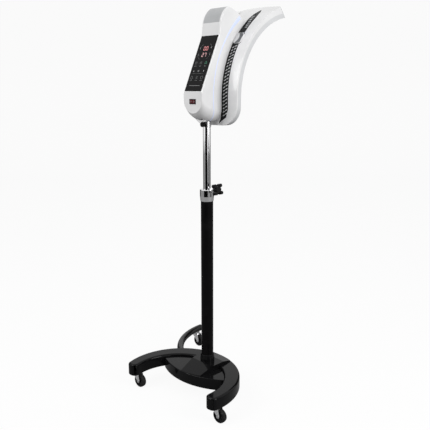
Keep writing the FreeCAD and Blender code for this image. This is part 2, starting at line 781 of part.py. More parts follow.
def saddle():
    """Raised middle of the hub cover: it climbs to the pole and runs down over the arms."""
    low, top = hub_top.value, arm_top.value
    front = -mm.hub_front_reach
    back = mm.base_radius - mm.horseshoe_offset
    depth = 2 * mm.saddle_back
    side_view = prism(
        [
            Vector(2 * front, -depth, low - 1),
            Vector(2 * front, -depth, low),
            Vector(front, -depth, low),
            Vector(-mm.saddle_flat, -depth, saddle_top.value),
            Vector(mm.saddle_flat, -depth, saddle_top.value),
            Vector(back, -depth, top + 1),
            Vector(back, -depth, low - 1),
        ],
        ALONG_Y * 2 * depth,
    )
    plan = prism(
        [
            Vector(2 * front, -mm.saddle_front, 0),
            Vector(front, -mm.saddle_front, 0),
            Vector(2 * back, -mm.saddle_back, 0),
            Vector(2 * back, mm.saddle_back, 0),
            Vector(front, mm.saddle_front, 0),
            Vector(2 * front, mm.saddle_front, 0),
        ],
        UP * 2 * top,
    )
    plan.rotate(Vector(), UP, mm.base_turn)
    hump = side_view.common(plan)
    between_arms = hump.common(hub_lens(low - 1, top - low + 1, mm.hub_edge_round, 0))
    crest = disc(mm.base_radius - mm.arm_edge_round).extrude(UP * mm.saddle_rise)
    crest = with_horseshoe(crest)
    crest.translate(UP * top)
    return between_arms.fuse(hump.common(crest))


def hub_cover():
    """Lower cover between the arms, with the saddle round the pole."""
    low, top = hub_bottom.value, hub_top.value
    cover = hub_lens(low, top - low, 0, 0)
    cover = cover.makeFillet(mm.hub_edge_round, [e for e in cover.Edges if front_edge(e, top)])
    room = hub_lens(low, top - low - mm.base_wall, mm.base_wall, 2)
    pole_hole = cylinder(mm.pole_diameter / 2 + mm.gap, Vector(0, 0, low), UP, 2 * mm.hub_height)
    cover = cover.fuse(saddle()).removeSplitter()
    feature_from("hub_cover", cover.cut(room).cut(pole_hole))


def front_edge(edge, top):
    """True for the upper edges that follow the bowed front of the hub."""
    middle = edge.valueAt((edge.FirstParameter + edge.LastParameter) / 2)
    centre = hub_centre()
    from_centre = math.hypot(middle.x - centre.x, middle.y - centre.y)
    level = edge.BoundBox.ZLength < TINY and middle.z > top - 0.5
    return level and abs(from_centre - mm.hub_front_radius) < TINY


def leg_tube_solid(grow):
    """The rear leg's round bar, thicker by grow all round."""
    start = math.radians(mm.leg_outer_angle)
    centre = Vector(mm.leg_centre_x, mm.leg_centre_y, leg_height.value)
    outward = Vector(math.cos(start), math.sin(start), 0)
    tangent = Vector(-outward.y, outward.x, 0)
    circle = Part.makeCircle(mm.leg_diameter / 2 + grow, centre + outward * mm.leg_bend, tangent)
    return Part.Face(Part.Wire(circle)).revolve(centre, UP, mm.leg_sweep)


def rear_leg():
    """Bent tube from inside the horseshoe to the rear caster."""
    body = new_body("leg_tube")
    sub_parts.remove(body)
    section = new_sketch(body, "XZ_Plane", "leg_section")
    draw_circle(section, bound.leg_diameter / 2, bound.leg_bend, 0)
    draw_circle(section, bound.leg_diameter / 2 - bound.leg_wall, bound.leg_bend, 0)
    revolve(body, section, "Z_Axis", bound.leg_sweep, "bend")
    turn = Rotation(UP, mm.leg_outer_angle)
    place(body, bound.leg_centre_x, bound.leg_centre_y, leg_height, turn)
    body.setExpression("Placement.Rotation.Angle", "Dimensions.leg_outer_angle")
    x, y = CASTERS["leg"]
    hole = cylinder(socket_outer.value + mm.gap, Vector(x.value, y.value, 0), UP, leg_height.value)
    drilled("rear_leg", body, hole)
    start = math.radians(mm.leg_outer_angle)
    outward = Vector(math.cos(start), math.sin(start), 0)
    inward_along = Vector(-outward.y, outward.x, 0)
    end = Vector(mm.leg_centre_x, mm.leg_centre_y, leg_height.value) + outward * mm.leg_bend
    cap = cylinder(mm.leg_diameter / 2, end - inward_along * 3, inward_along, 3)
    insert_radius = mm.leg_diameter / 2 - mm.leg_wall - mm.gap
    insert = cylinder(insert_radius, end, inward_along, 4)
    feature_from("leg_plug", cap.fuse(insert))


def base_pan():
    """Steel floor plate under the horseshoe and the hub, with caster and screw holes."""
    plate = base_pan_plate(1.5, mm.base_wall + mm.gap)
    hole_radius = socket_outer.value + mm.gap
    for x, y in CASTERS.values():
        low = Vector(x.value, y.value, -OVERSHOOT)
        plate = plate.cut(cylinder(hole_radius, low, UP, 2 * mm.arm_height))
    plate.translate(UP * pan_bottom.value)
    feature_from("base_pan", settled(plate.cut(screw_holes(mm.gap))))


def ballast():
    """Cast crescent bolted into the horseshoe, clear of the stem sleeves and of the leg."""
    margin = mm.base_wall + mm.ballast_margin
    up = UP * mm.ballast_thickness
    outer = disc(mm.base_radius - margin).extrude(up)
    inner = disc(mm.inner_radius + margin, -mm.inner_shift).extrude(up)
    span = 2 * mm.base_radius
    front = tip_caster_x.value + 2 * socket_outer.value
    ring = with_horseshoe(outer.cut(inner).common(box(front, span, -span, span, 0, span)))
    ring.translate(UP * mm.base_underside)
    clearance = socket_outer.value + mm.ballast_gap
    for x, y in CASTERS.values():
        ring = ring.cut(cylinder(clearance, Vector(x.value, y.value, 0), UP, 3 * mm.arm_height))
    ring = ring.cut(leg_tube_solid(mm.ballast_margin)).cut(screw_holes(mm.running_fit))
    ring = ring.cut(pole_room(mm.ballast_gap))
    feature_from("ballast", Part.makeCompound(ring.Solids))


SCREW_ANGLES = (-84, -50, -6, 24, 84)


def screw_places():
    """Where the base screws enter the floor plate."""
    places = []
    for angle in SCREW_ANGLES:
        turn = Size.of(angle)
        x, y = from_horseshoe(
            around(middle_radius, turn, "cos") - middle_shift, around(middle_radius, turn, "sin")
        )
        places.append(Vector(x.value, y.value, pan_bottom.value))
    return places


def screw_holes(clearance):
    """Upright cutters for the base screws."""
    radius = mm.screw_diameter / 2 + clearance
    return Part.makeCompound(
        [cylinder(radius, place - UP, UP, mm.screw_length + 2) for place in screw_places()]
    )


def base_screws():
    """Pan-head screws that hold the floor plate from below, one solid for each."""
    head_height = mm.screw_diameter / 2
    screws = []
    for place in screw_places():
        head = cylinder(mm.screw_diameter, place - UP * head_height, UP, head_height)
        head = head.makeFillet(head_height / 2, [e for e in head.Edges if e.BoundBox.ZMax
                                                 < place.z - head_height / 2])
        shank = cylinder(mm.screw_diameter / 2, place, UP, mm.screw_length)
        screws.append(head.fuse(shank))
    feature_from("base_screws", Part.makeCompound(screws))


# ---------------------------------------------------------------- pole and column


def poles():
    pole_radius = bound.pole_diameter / 2
    bore = pole_radius - bound.pole_wall
    foot_bottom = bound.base_underside
    foot_top = foot_bottom + bound.foot_thickness
    turned("lower_pole", ring_profile(pole_radius, bore, foot_top, bound.pole_top))
    turned(
        "pole_foot",
        [
            (0, foot_bottom),
            (bound.foot_diameter / 2, foot_bottom),
            (bound.foot_diameter / 2, foot_top),
            (0, foot_top),
        ],
    )
    boot_inner = pole_radius + bound.running_fit
    boot_radius = bound.boot_diameter / 2
    boot_bottom = saddle_top
    boot_top = boot_bottom + bound.boot_height
    turned(
        "pole_boot",
        [
            (boot_inner, boot_bottom),
            (boot_radius, boot_bottom),
            (boot_radius, boot_bottom + bound.boot_straight),
            (boot_radius - bound.boot_taper, boot_top - bound.boot_lip),
            (boot_inner + bound.boot_edge, boot_top),
            (boot_inner, boot_top),
        ],
    )
    column_radius = bound.column_diameter / 2
    column_bottom = bound.column_top - bound.column_length
    column_inner = column_radius - bound.column_wall
    turned(
        "column", ring_profile(column_radius, column_inner, column_bottom, bound.column_top)
    )
    bush_outer = bore - bound.running_fit
    bush_inner = column_radius + bound.slide_fit
    bush_bottom = bound.pole_top - bound.bush_length
    flange_radius = pole_radius - bound.bush_flange_inset
    flange_top = bound.pole_top + bound.bush_flange
    turned(
        "guide_bush",
        [
            (bush_inner, bush_bottom),
            (bush_outer, bush_bottom),
            (bush_outer, bound.pole_top),
            (flange_radius, bound.pole_top),
            (flange_radius, flange_top),
            (bush_inner, flange_top),
        ],
    )
    shoe_outer = bore - bound.slide_fit
    shoe_inner = column_radius + bound.running_fit
    shoe_bottom = column_bottom - bound.shoe_base
    shoe_top = column_bottom + bound.shoe_length
    turned(
        "column_shoe",
        [
            (0, shoe_bottom),
            (shoe_outer, shoe_bottom),
            (shoe_outer, shoe_top),
            (shoe_inner, shoe_top),
            (shoe_inner, column_bottom),
            (0, column_bottom),
        ],
    )


def clamp_axis():
    """A point on the column axis and the direction of the slanted clamp screw."""
    slant = math.radians(mm.clamp_slant)
    direction = Vector(0, -math.cos(slant), math.sin(slant))
    return Vector(0, 0, collar_top.value - mm.clamp_drop), direction


def clamp_collar():
    """Chromed collar over the end of the pole, with a tapered foot and a lug for the screw."""
    outer = bound.collar_diameter / 2
    skirt_inner = bound.pole_diameter / 2 + bound.running_fit
    bore = bound.column_diameter / 2 + bound.slide_fit * 2
    foot = bound.pole_top - bound.collar_skirt
    seat = bound.pole_top + bound.bush_flange + bound.running_fit
    foot_outer = skirt_inner + bound.collar_foot_wall
    taper_top = foot + bound.collar_taper
    edge, step = bound.collar_edge, bound.collar_step
    body = turned(
        "collar_turning",
        [
            (skirt_inner, foot),
            (foot_outer, foot),
            (foot_outer + step, foot + edge),
            (outer - step, taper_top),
            (outer, taper_top + edge),
            (outer, collar_top - edge),
            (outer - edge, collar_top),
            (bore, collar_top),
            (bore, seat),
            (skirt_inner, seat),
        ],
    )
    sub_parts.remove(body)
    point, direction = clamp_axis()
    lug_reach = mm.knob_reach - mm.lug_short
    lug_start = mm.pole_diameter / 2 - mm.pole_wall
    lug = cylinder(mm.stud_diameter, point + direction * lug_start, direction,
                   lug_reach - lug_start)
    bore_shape = cylinder(mm.stud_diameter / 2 + mm.running_fit, point, direction, mm.knob_reach)
    with_lug = doc.addObject("Part::Fuse", "collar_with_lug")
    lug_feature = doc.addObject("Part::Feature", "collar_lug")
    lug_feature.Shape = lug
    with_lug.Base = body
    with_lug.Tool = lug_feature
    drilled("clamp_collar", with_lug, bore_shape)


def clamp_knob():
    """Lobed knob with its pressed-in stud."""
    point, direction = clamp_axis()
    slant = Rotation(ALONG_X, mm.clamp_slant * -1)
    body = new_body("star_knob")
    disc = new_sketch(body, "XZ_Plane", "knob_core", bound.knob_reach)
    draw_circle(disc, bound.knob_core)
    pad(body, disc, bound.knob_thickness, "core")
    lobe_sketch = new_sketch(body, "XZ_Plane", "knob_lobe", bound.knob_reach)
    diagonal = bound.lobe_distance * math.sqrt(0.5)
    draw_circle(lobe_sketch, bound.lobe_radius, diagonal, diagonal)
    lobe = pad(body, lobe_sketch, bound.knob_thickness, "lobe")
    lobes = body.newObject("PartDesign::PolarPattern", "lobes")
    lobes.Originals = [lobe]
    lobes.Axis = (origin_feature(body, "Y_Axis"), [""])
    lobes.Angle = 360
    lobes.Occurrences = int(mm.knob_lobes)
    body.Tip = lobes
    hub = new_sketch(body, "XZ_Plane", "knob_hub", bound.knob_reach)
    draw_circle(hub, bound.stud_diameter)
    pad(body, hub, bound.knob_hub, "hub", reverse=True)
    stud_hole = new_sketch(body, "XZ_Plane", "knob_bore", bound.knob_reach - bound.knob_hub)
    draw_circle(stud_hole, bound.stud_diameter / 2)
    pocket(body, stud_hole, bound.knob_hub + bound.stud_in_knob, "bore", reverse=True)
    place(body, 0, 0, collar_top - bound.clamp_drop, slant)
    stud_start = mm.column_diameter / 2 + mm.slide_fit + mm.stud_tip_gap
    stud_length = mm.knob_reach + mm.stud_in_knob - stud_start
    stud = cylinder(mm.stud_diameter / 2, Vector(0, -stud_start, 0), -ALONG_Y, stud_length)
    feature = feature_from("knob_stud", stud)
    place(feature, 0, 0, collar_top - bound.clamp_drop, slant)


# ---------------------------------------------------------------- neck


def neck():
    """Socket with its tilt tongue, washers, tilt bolt and thumb screw, from the tilt pin."""
    roof_low = -mm.pin_above_column + mm.gap
    roof_top = roof_low + mm.neck_roof
    bottom = -mm.pin_above_column - mm.neck_cover
    radius = mm.neck_diameter / 2
    socket = cylinder(radius, Vector(0, 0, bottom), UP, roof_top - bottom)
    low_edges = [e for e in socket.Edges if abs(e.BoundBox.ZMax - bottom) < TINY]
    socket = socket.makeChamfer(mm.neck_chamfer, low_edges)
    bore = cylinder(mm.column_diameter / 2 + mm.running_fit, Vector(0, 0, bottom - OVERSHOOT), UP,
                    roof_low - bottom + OVERSHOOT)
    half = mm.tongue_thickness / 2
    tongue = box(-mm.tongue_radius, mm.tongue_radius, -half, half, roof_top - OVERSHOOT, 0)
    eye = cylinder(mm.tongue_radius, Vector(0, -half, 0), ALONG_Y, mm.tongue_thickness)
    pin_hole = cylinder(mm.tilt_pin_diameter / 2 + mm.running_fit, Vector(0, -half, 0), ALONG_Y,
                        mm.tongue_thickness)
    thumb_z = -mm.pin_above_column - mm.thumb_drop
    thumb_hole = cylinder(mm.thumb_thread / 2 + mm.running_fit, Vector(0, 0, thumb_z), -ALONG_X,
                          radius + OVERSHOOT)
    yoke = socket.fuse([tongue, eye]).removeSplitter().cut(bore).cut(pin_hole).cut(thumb_hole)
    feature_from("neck_socket", yoke, z=pin_height)

    washers = []
    for side in (-1, 1):
        start = side * (half + mm.running_fit)
        ring = cylinder(mm.washer_diameter / 2, Vector(0, start, 0), ALONG_Y * side,
                        mm.washer_thickness)
        hole = cylinder(mm.tilt_pin_diameter / 2 + mm.gap, Vector(0, start, 0), ALONG_Y * side,
                        mm.washer_thickness)
        washers.append(ring.cut(hole))
    feature_from("tilt_washers", Part.makeCompound(washers), z=pin_height)

    ear_out = ear_inside() + mm.ear_thickness
    grip = ear_out + mm.running_fit
    shank = cylinder(mm.tilt_pin_diameter / 2, Vector(0, -grip, 0), ALONG_Y, 2 * grip)
    head = cylinder(mm.bolt_head / 2, Vector(0, -grip - mm.bolt_head_height, 0), ALONG_Y,
                    mm.bolt_head_height)
    nut = hexagon(mm.nut_corners / 2, grip, mm.nut_height)
    feature_from("tilt_bolt", shank.fuse([head, nut]), z=pin_height)

    head_start = radius + mm.thumb_gap
    thumb_tip = mm.column_diameter / 2 + mm.gap
    thumb_head = cylinder(mm.thumb_diameter / 2, Vector(-head_start, 0, thumb_z), -ALONG_X,
                          mm.thumb_length)
    rims = [e for e in thumb_head.Edges if e.BoundBox.XLength < TINY]
    thumb_head = thumb_head.makeChamfer(mm.thumb_chamfer, rims)
    thumb_shank = cylinder(mm.thumb_thread / 2, Vector(-thumb_tip, 0, thumb_z), -ALONG_X,
                           head_start - thumb_tip)
    feature_from("thumb_screw", thumb_head.fuse(thumb_shank), z=pin_height)


def ear_inside():
    """Inner face of a tilt ear from the middle plane."""
    return mm.tongue_thickness / 2 + mm.washer_thickness + 2 * mm.running_fit


def hexagon(radius, start_y, thickness):
    """Hexagonal nut round the tilt axis."""
    corners = []
    for step in range(6):
        angle = math.radians(60 * step)
        corners.append(Vector(radius * math.cos(angle), start_y, radius * math.sin(angle)))
    return prism(corners, ALONG_Y * thickness)


def tilt_bracket():
    """Bent steel bracket between the tilt bolt and the hood's back."""
    ear = ear_inside()
    thick = mm.ear_thickness
    back_x = mm.hood_front_reach - mm.hood_depth - mm.gap
    radius = mm.tongue_radius
    ears = []
    for side in (-1, 1):
        low, high = sorted((side * ear, side * (ear + thick)))
        plate = box(0, back_x, low, high, -radius, radius)
        eye = cylinder(radius, Vector(0, low, 0), ALONG_Y, high - low)
        flange_low, flange_high = sorted((side * ear, side * (ear + mm.bracket_flange)))
        flange = box(back_x - thick, back_x, flange_low, flange_high, -radius, mm.bracket_rise)
        ears.append(plate.fuse([eye, flange]))
    bridge = box(back_x - thick, back_x, -ear - thick, ear + thick, radius, mm.bracket_rise)
    bracket = joined([*ears, bridge])
    hole = cylinder(mm.tilt_pin_diameter / 2 + mm.running_fit, Vector(0, -2 * ear, 0), ALONG_Y,
                    4 * ear)
    feature_from("tilt_bracket", bracket.cut(hole), z=pin_height)


# ---------------------------------------------------------------- hood geometry

back_centre_x = mm.hood_front_reach - mm.hood_depth + mm.hood_back_radius
back_centre = Vector(back_centre_x, 0, mm.hood_spring + mm.hood_back_lift)
front_centre = Vector(mm.hood_front_reach + mm.hood_front_radius, 0, mm.hood_spring)
crown_bend = ((mm.hood_width / 2) ** 2 + mm.crown_drop**2) / (2 * mm.crown_drop)
ARC_SPAN = 100


def crowned_sweep(inset, half_width, bottom):
    """Everything inside the hood's crowned back, moved inwards by inset."""
    radius = mm.hood_back_radius - inset
    drop = crown_bend - math.sqrt(crown_bend**2 - half_width**2)
    core = mm.hood_front_radius * 0.7

    def point(radial, y):
        return Vector(back_centre.x - radial, y, back_centre.z)

    crown = Part.Arc(point(radius - drop, -half_width), point(radius, 0),
                     point(radius - drop, half_width))
    legs = Part.makePolygon([point(radius - drop, half_width), point(core, half_width),
                             point(core, -half_width), point(radius - drop, -half_width)])
    section = Part.Face(Part.Wire([crown.toShape(), *legs.Edges]))
    arch = section.revolve(back_centre, ALONG_Y, ARC_SPAN)
    straight = section.extrude(Vector(0, 0, bottom - back_centre.z))
    return arch.fuse(straight).removeSplitter()


def inside_front(setback):
    """Region in front of the hood's open edge, moved back by setback, as a long cutter."""
    radius = mm.hood_front_radius + setback
    half = mm.hood_width
    drum = cylinder(radius, front_centre - ALONG_Y * half, ALONG_Y, 2 * half)
    below = box(front_centre.x - radius, front_centre.x + radius, -half, half,
                -2 * mm.hood_front_radius, front_centre.z)
    return drum.fuse(below).removeSplitter()


def beyond_tip(inset):
    """Region past the hood's sloping upper end."""
    angle = math.radians(mm.tip_angle)
    edge = front_centre + Vector(-math.cos(angle), 0, math.sin(angle)) * mm.hood_front_radius
    lean = math.radians(mm.tip_slope)
    normal = Vector(math.sin(angle) * math.cos(lean) + math.cos(angle) * math.sin(lean) * -1, 0,
                    math.cos(angle) * math.cos(lean) + math.sin(angle) * math.sin(lean))
    normal.normalize()
    size = 2 * mm.hood_back_radius
    block = Part.makeBox(size, size, 2 * size, Vector(0, -size / 2, -size))
    block.Placement = Placement(edge - normal * inset, Rotation(ALONG_X, normal))
    return block


def hood_envelope(side_inset, back_inset):
    """The hood's outer form, with walls moved in by side_inset and the back by back_inset."""
    half = mm.hood_width / 2 - side_inset
    bottom = -mm.hood_bottom + side_inset
    body = crowned_sweep(back_inset, half, bottom).cut(beyond_tip(side_inset))

    def at_bottom_corner(edge):
        box_ = edge.BoundBox
        return box_.YLength < TINY and box_.ZLength < TINY and abs(box_.ZMin - bottom) < TINY

    def at_tip_corner(edge):
        middle = edge.CenterOfMass
        straight = isinstance(edge.Curve, Part.Line) and edge.BoundBox.YLength < TINY
        return straight and middle.z > mm.hood_front_radius and edge.BoundBox.ZLength > 1

    lower = [e for e in body.Edges if at_bottom_corner(e)]
    body = body.makeFillet(max(mm.hood_bottom_round - side_inset, 2), lower)
    upper = [e for e in body.Edges if at_tip_corner(e)]
    return body.makeFillet(max(mm.hood_tip_round - side_inset, 2), upper)


def on_back(shape, distance):
    """Moves a shape from the start of the arc along the hood's back."""
    moved = shape.copy()
    if distance < 0:
        moved.translate(Vector(0, 0, distance))
    else:
        moved.rotate(back_centre, ALONG_Y, math.degrees(distance / mm.hood_back_radius))
    return moved


def back_start():
    """The point on the crown of the hood's back where its arc begins."""
    return back_centre - ALONG_X * mm.hood_back_radius


def hood_pieces():
    """Crowned back with its vent slots, grey rim and reflector."""
    outer = hood_envelope(0, 0)
    seat = inside_front(mm.rim_thickness)
    inner = hood_envelope(mm.hood_wall, mm.hood_wall)
    back = outer.cut(inner).cut(seat)
    for side in (-1, 1):
        back = back.cut(vent_outline(side, 0))
    hole_start = back_start() - ALONG_X * mm.hood_wall
    air_hole = cylinder(mm.fan_bore / 2, hole_start, ALONG_X, 4 * mm.hood_wall)
    back = back.cut(on_back(air_hole, mm.fan_station))
    back = back.fuse([vent_bridge(-1), vent_bridge(1)]).removeSplitter()
    feature_from("hood_back", back, z=pin_height)

    front = inside_front(0)
    rim = outer.common(seat).cut(front).cut(hood_envelope(mm.rim_width, 0))
    feature_from("hood_rim", rim, z=pin_height)

    setback = mm.reflector_setback
    room = hood_envelope(mm.rim_width + mm.gap, 0)
    sheet_solid = inside_front(setback + mm.reflector_sheet).cut(inside_front(setback)).common(room)
    feature_from("reflector", sheet_solid, z=pin_height)
    return outer


def vent_bridge(side):
    """Smooth raised bridge of the hood's back across one vent strip."""
    half = mm.hood_width / 2
    low = -mm.hood_bottom
    plate = crowned_sweep(-mm.lug_rise, half, low)
    plate = plate.cut(crowned_sweep(mm.vent_sink - mm.gap, half, low))
    near, far = sorted((side * (mm.housing_width / 2 + mm.lug_inset),
                        side * (mm.vent_outer + mm.lug_overlap)))
    start = back_start()
    long_half = mm.lug_length / 2
    block = box(start.x - 4 * mm.lug_rise, start.x + 2 * mm.crown_drop, near, far,
                start.z - long_half, start.z + long_half)
    block = block.makeFillet(mm.lug_round, [e for e in block.Edges if e.BoundBox.XLength > TINY])
    return plate.common(settled(on_back(block, mm.lug_station)))


def vent_outline(side, clearance):
    """Cutter with the tapering outline of one vent strip, in two stretches of the arc."""
    low = mm.hood_bottom
    inner = mm.vent_inner
    outer = mm.vent_outer
    turn = math.radians(45)
    split = Vector(back_centre.x - mm.hood_back_radius * math.cos(turn), 0,
                   back_centre.z + mm.hood_back_radius * math.sin(turn))
    deep = mm.hood_back_radius
    overlap = 4 * mm.hood_wall
    lower = [
        (inner, split.z), (outer, split.z), (outer, 0.7 * low), (outer - 9, -0.15 * low),
        (0.4 * outer, 6 - low), (0.52 * outer, -0.4 * low), (inner, 0.2 * low),
    ]
    corners = [Vector(0, side * y, z) for y, z in lower]
    region = prism(corners, ALONG_X * (split.x + overlap), clearance)
    upper = [
        (split.x - overlap, inner), (split.x - overlap, outer), (split.x + 0.13 * deep, outer - 2),
        (split.x + 0.24 * deep, outer - 12), (split.x + 0.31 * deep, inner + 8),
        (split.x + 0.2 * deep, inner),
    ]
    corners = [Vector(x, side * y, split.z - overlap) for x, y in upper]
    return region.fuse(prism(corners, UP * deep, clearance)).removeSplitter()


def vent_strip(side, label):
    """Perforated strip sunk in its slot: two staggered rows below and a ladder above."""
    top = mm.vent_sink
    bottom = mm.hood_wall
    half = mm.hood_width / 2
    low = -mm.hood_bottom - 1
    sheet_solid = crowned_sweep(top, half, low).cut(crowned_sweep(bottom, half, low))
    strip = sheet_solid.common(vent_outline(side, mm.vent_gap))
    openings = []
    rows = (mm.vent_inner + mm.slat_row_near, mm.vent_inner + mm.slat_row_far)
    count = int((mm.slat_rows_end + mm.hood_spring) / mm.slat_pitch)
    for column, y in enumerate(rows):
        for step in range(count):
            distance = -mm.hood_spring + (step + column / 2) * mm.slat_pitch
            openings.append(vent_opening(side * y, mm.slat_length, distance, side * mm.slat_slant))
    for step in range(int(mm.ladder_count)):
        y = side * (mm.vent_inner + mm.ladder_row - step)
        distance = mm.ladder_start + step * mm.slat_pitch
        openings.append(vent_opening(y, mm.ladder_length - step, distance, 0))
    strip = strip.cut(Part.makeCompound(openings))
    feature_from(label, strip, z=pin_height)


def vent_opening(y, length, distance, slant):
    """One slot through the strip, at a distance along the hood's back."""
    depth = 3 * mm.hood_wall
    start = back_centre.x - mm.hood_back_radius - depth / 2
    slot = box(start, start + depth, -length / 2, length / 2, -mm.slat_width / 2, mm.slat_width / 2)
    slot.rotate(Vector(), ALONG_X, slant)
    slot.translate(Vector(0, y, back_centre.z))
    return on_back(slot, distance)


LAMP_ANGLES = (8, 28, 48, 68)


def lamps():
    """Quartz infrared tubes across the hood, each between two ceramic holders."""
    tubes, holders = [], []
    radius = mm.hood_front_radius + mm.lamp_setback
    holder_half = mm.holder_width / 2
    for angle in LAMP_ANGLES:
        turn = math.radians(angle)
        outward = Vector(-math.cos(turn), 0, math.sin(turn))
        axis = front_centre + outward * radius
        half = mm.lamp_length / 2
        tube_half = half - mm.tube_inset
        tubes.append(cylinder(mm.lamp_diameter / 2, axis - ALONG_Y * tube_half, ALONG_Y,
                              2 * tube_half))
        for side in (-1, 1):
            near, far = sorted((side * (half - mm.holder_length), side * half))
            back = mm.reflector_setback - mm.lamp_setback + 4 * OVERSHOOT
            block = box(-mm.holder_front, back, near, far, -holder_half, holder_half)
            block.Placement = Placement(axis, Rotation(ALONG_X, outward))
            block = block.common(inside_front(mm.reflector_setback - mm.running_fit))
            bore = cylinder(mm.lamp_diameter / 2, axis - ALONG_Y * tube_half, ALONG_Y,
                            2 * tube_half)
            holders.append(block.cut(bore))
    feature_from("lamp_tubes", Part.makeCompound(tubes), z=pin_height)
    feature_from("lamp_holders", Part.makeCompound(holders), z=pin_height)


GUARD_LONG_STEPS = (-2, -1, 0, 1, 2)
GUARD_CROSS_ANGLES = (18, 38, 58, 73)
PAST_TIP = 3  # degrees that the wires run on before they are trimmed


def lamp_guard():
    """Welded wire guard: long wires along the arc and cross wires behind them."""
    radius = mm.hood_front_radius + mm.guard_wire
    wire = mm.guard_wire / 2
    bottom = -mm.hood_bottom + mm.rim_width + mm.gap
    room = hood_envelope(mm.rim_width + mm.gap, 0)
    pieces = []
    for step in GUARD_LONG_STEPS:
        y = step * mm.guard_spacing
        start = Vector(front_centre.x - radius, y, front_centre.z)
        straight = cylinder(wire, start, -UP, front_centre.z - bottom)
        ring = Part.Face(Part.Wire(Part.makeCircle(wire, start, UP)))
        arc = ring.revolve(front_centre, ALONG_Y, mm.tip_angle + PAST_TIP)
        pieces.append(straight.fuse(arc))
    half = mm.hood_width / 2 - mm.rim_width - mm.gap
    cross_radius = radius + mm.guard_layer
    centres = [Vector(front_centre.x - cross_radius, 0, 0)]
    for angle in GUARD_CROSS_ANGLES:
        turn = math.radians(angle)
        outward = Vector(-math.cos(turn), 0, math.sin(turn))
        centres.append(front_centre + outward * cross_radius)
    for centre in centres:
        pieces.append(cylinder(wire, centre - ALONG_Y * half, ALONG_Y, 2 * half))
    guard = pieces[0].fuse(pieces[1:]).common(room)
    feature_from("lamp_guard", guard, z=pin_height)


# ---------------------------------------------------------------- housing


def half_round_wire(x, centre_z, radius, top):
    """A U-shaped section across the housing: a half circle below and upright sides."""
    low = Part.Arc(Vector(x, -radius, centre_z), Vector(x, 0, centre_z - radius),
                   Vector(x, radius, centre_z)).toShape()
    sides = Part.makePolygon([Vector(x, radius, centre_z), Vector(x, radius, top),
                              Vector(x, -radius, top), Vector(x, -radius, centre_z)])
    return Part.Wire([low, *sides.Edges])


# Chin of the housing: how far behind the switch face a section lies, and how far its round sinks.
CHIN_SECTIONS = ((-6, 0), (8, 20), (36, 37), (74, 44), (150, 52), (300, 52))
CAP_BULGE = Vector(-6, 0, 9)  # middle of the cap's arc from its chord
ROOF_END = Vector(85, 0, -42)  # end of the roof from the apex
ROOF_BULGE = Vector(2, 0, 7)  # middle of the roof's arc from its chord
SPARE_TOP = 20  # sections reach past the apex before they are trimmed
SPARE_BELOW = 60  # and the side outline past the roof's end and the hood's bottom


def housing_form(inset):
    """The closed outer form of the housing, moved inwards by inset."""
    radius = mm.housing_width / 2 - inset
    top = mm.apex_height + SPARE_TOP
    face = -mm.face_reach
    disc = mm.disc_height
    wires = [half_round_wire(face + back, disc - sink, radius, top) for back, sink in CHIN_SECTIONS]
    form = Part.makeLoft(wires, True, False)
    return form.common(housing_side(inset))


def housing_side(inset):
    """Side outline of the housing as a wide slab: switch face, sloping panel, brow, cap."""
    face = -mm.face_reach
    panel_top = Vector(face + mm.panel_lean, 0, mm.panel_foot + mm.panel_rise)
    brow = panel_top + Vector(mm.brow_lean, 0, mm.brow_rise)
    apex = Vector(mm.apex_reach, 0, mm.apex_height)
    half = mm.housing_width
    corner = Vector(face, 0, mm.panel_foot)
    cap_middle = (brow + apex) * 0.5 + CAP_BULGE
    rear_low = apex + ROOF_END
    rear_middle = (apex + rear_low) * 0.5 + ROOF_BULGE
    far = Vector(back_centre.x, 0, rear_low.z - SPARE_BELOW)
    floor_back = Vector(back_centre.x, 0, -mm.hood_bottom - SPARE_BELOW)
    floor_front = Vector(face, 0, -mm.hood_bottom - SPARE_BELOW)
    edges = [
        Part.makeLine(floor_front, corner),
        Part.makeLine(corner, panel_top),
        Part.makeLine(panel_top, brow),
        Part.Arc(brow, cap_middle, apex).toShape(),
        Part.Arc(apex, rear_middle, rear_low).toShape(),
        Part.makeLine(rear_low, far),
        Part.makeLine(far, floor_back),
        Part.makeLine(floor_back, floor_front),
    ]
    wire = Part.Wire(edges)
    if inset:
        wire = wire.makeOffset2D(-inset, 2)
    slab = Part.Face(wire).extrude(ALONG_Y * 2 * half)
    slab.translate(ALONG_Y * -half)
    return slab


SEAM_LOW_TURN = 1.4  # radians of the joint line's lower stretch
SEAM_HIGH_TURN = math.radians(80)


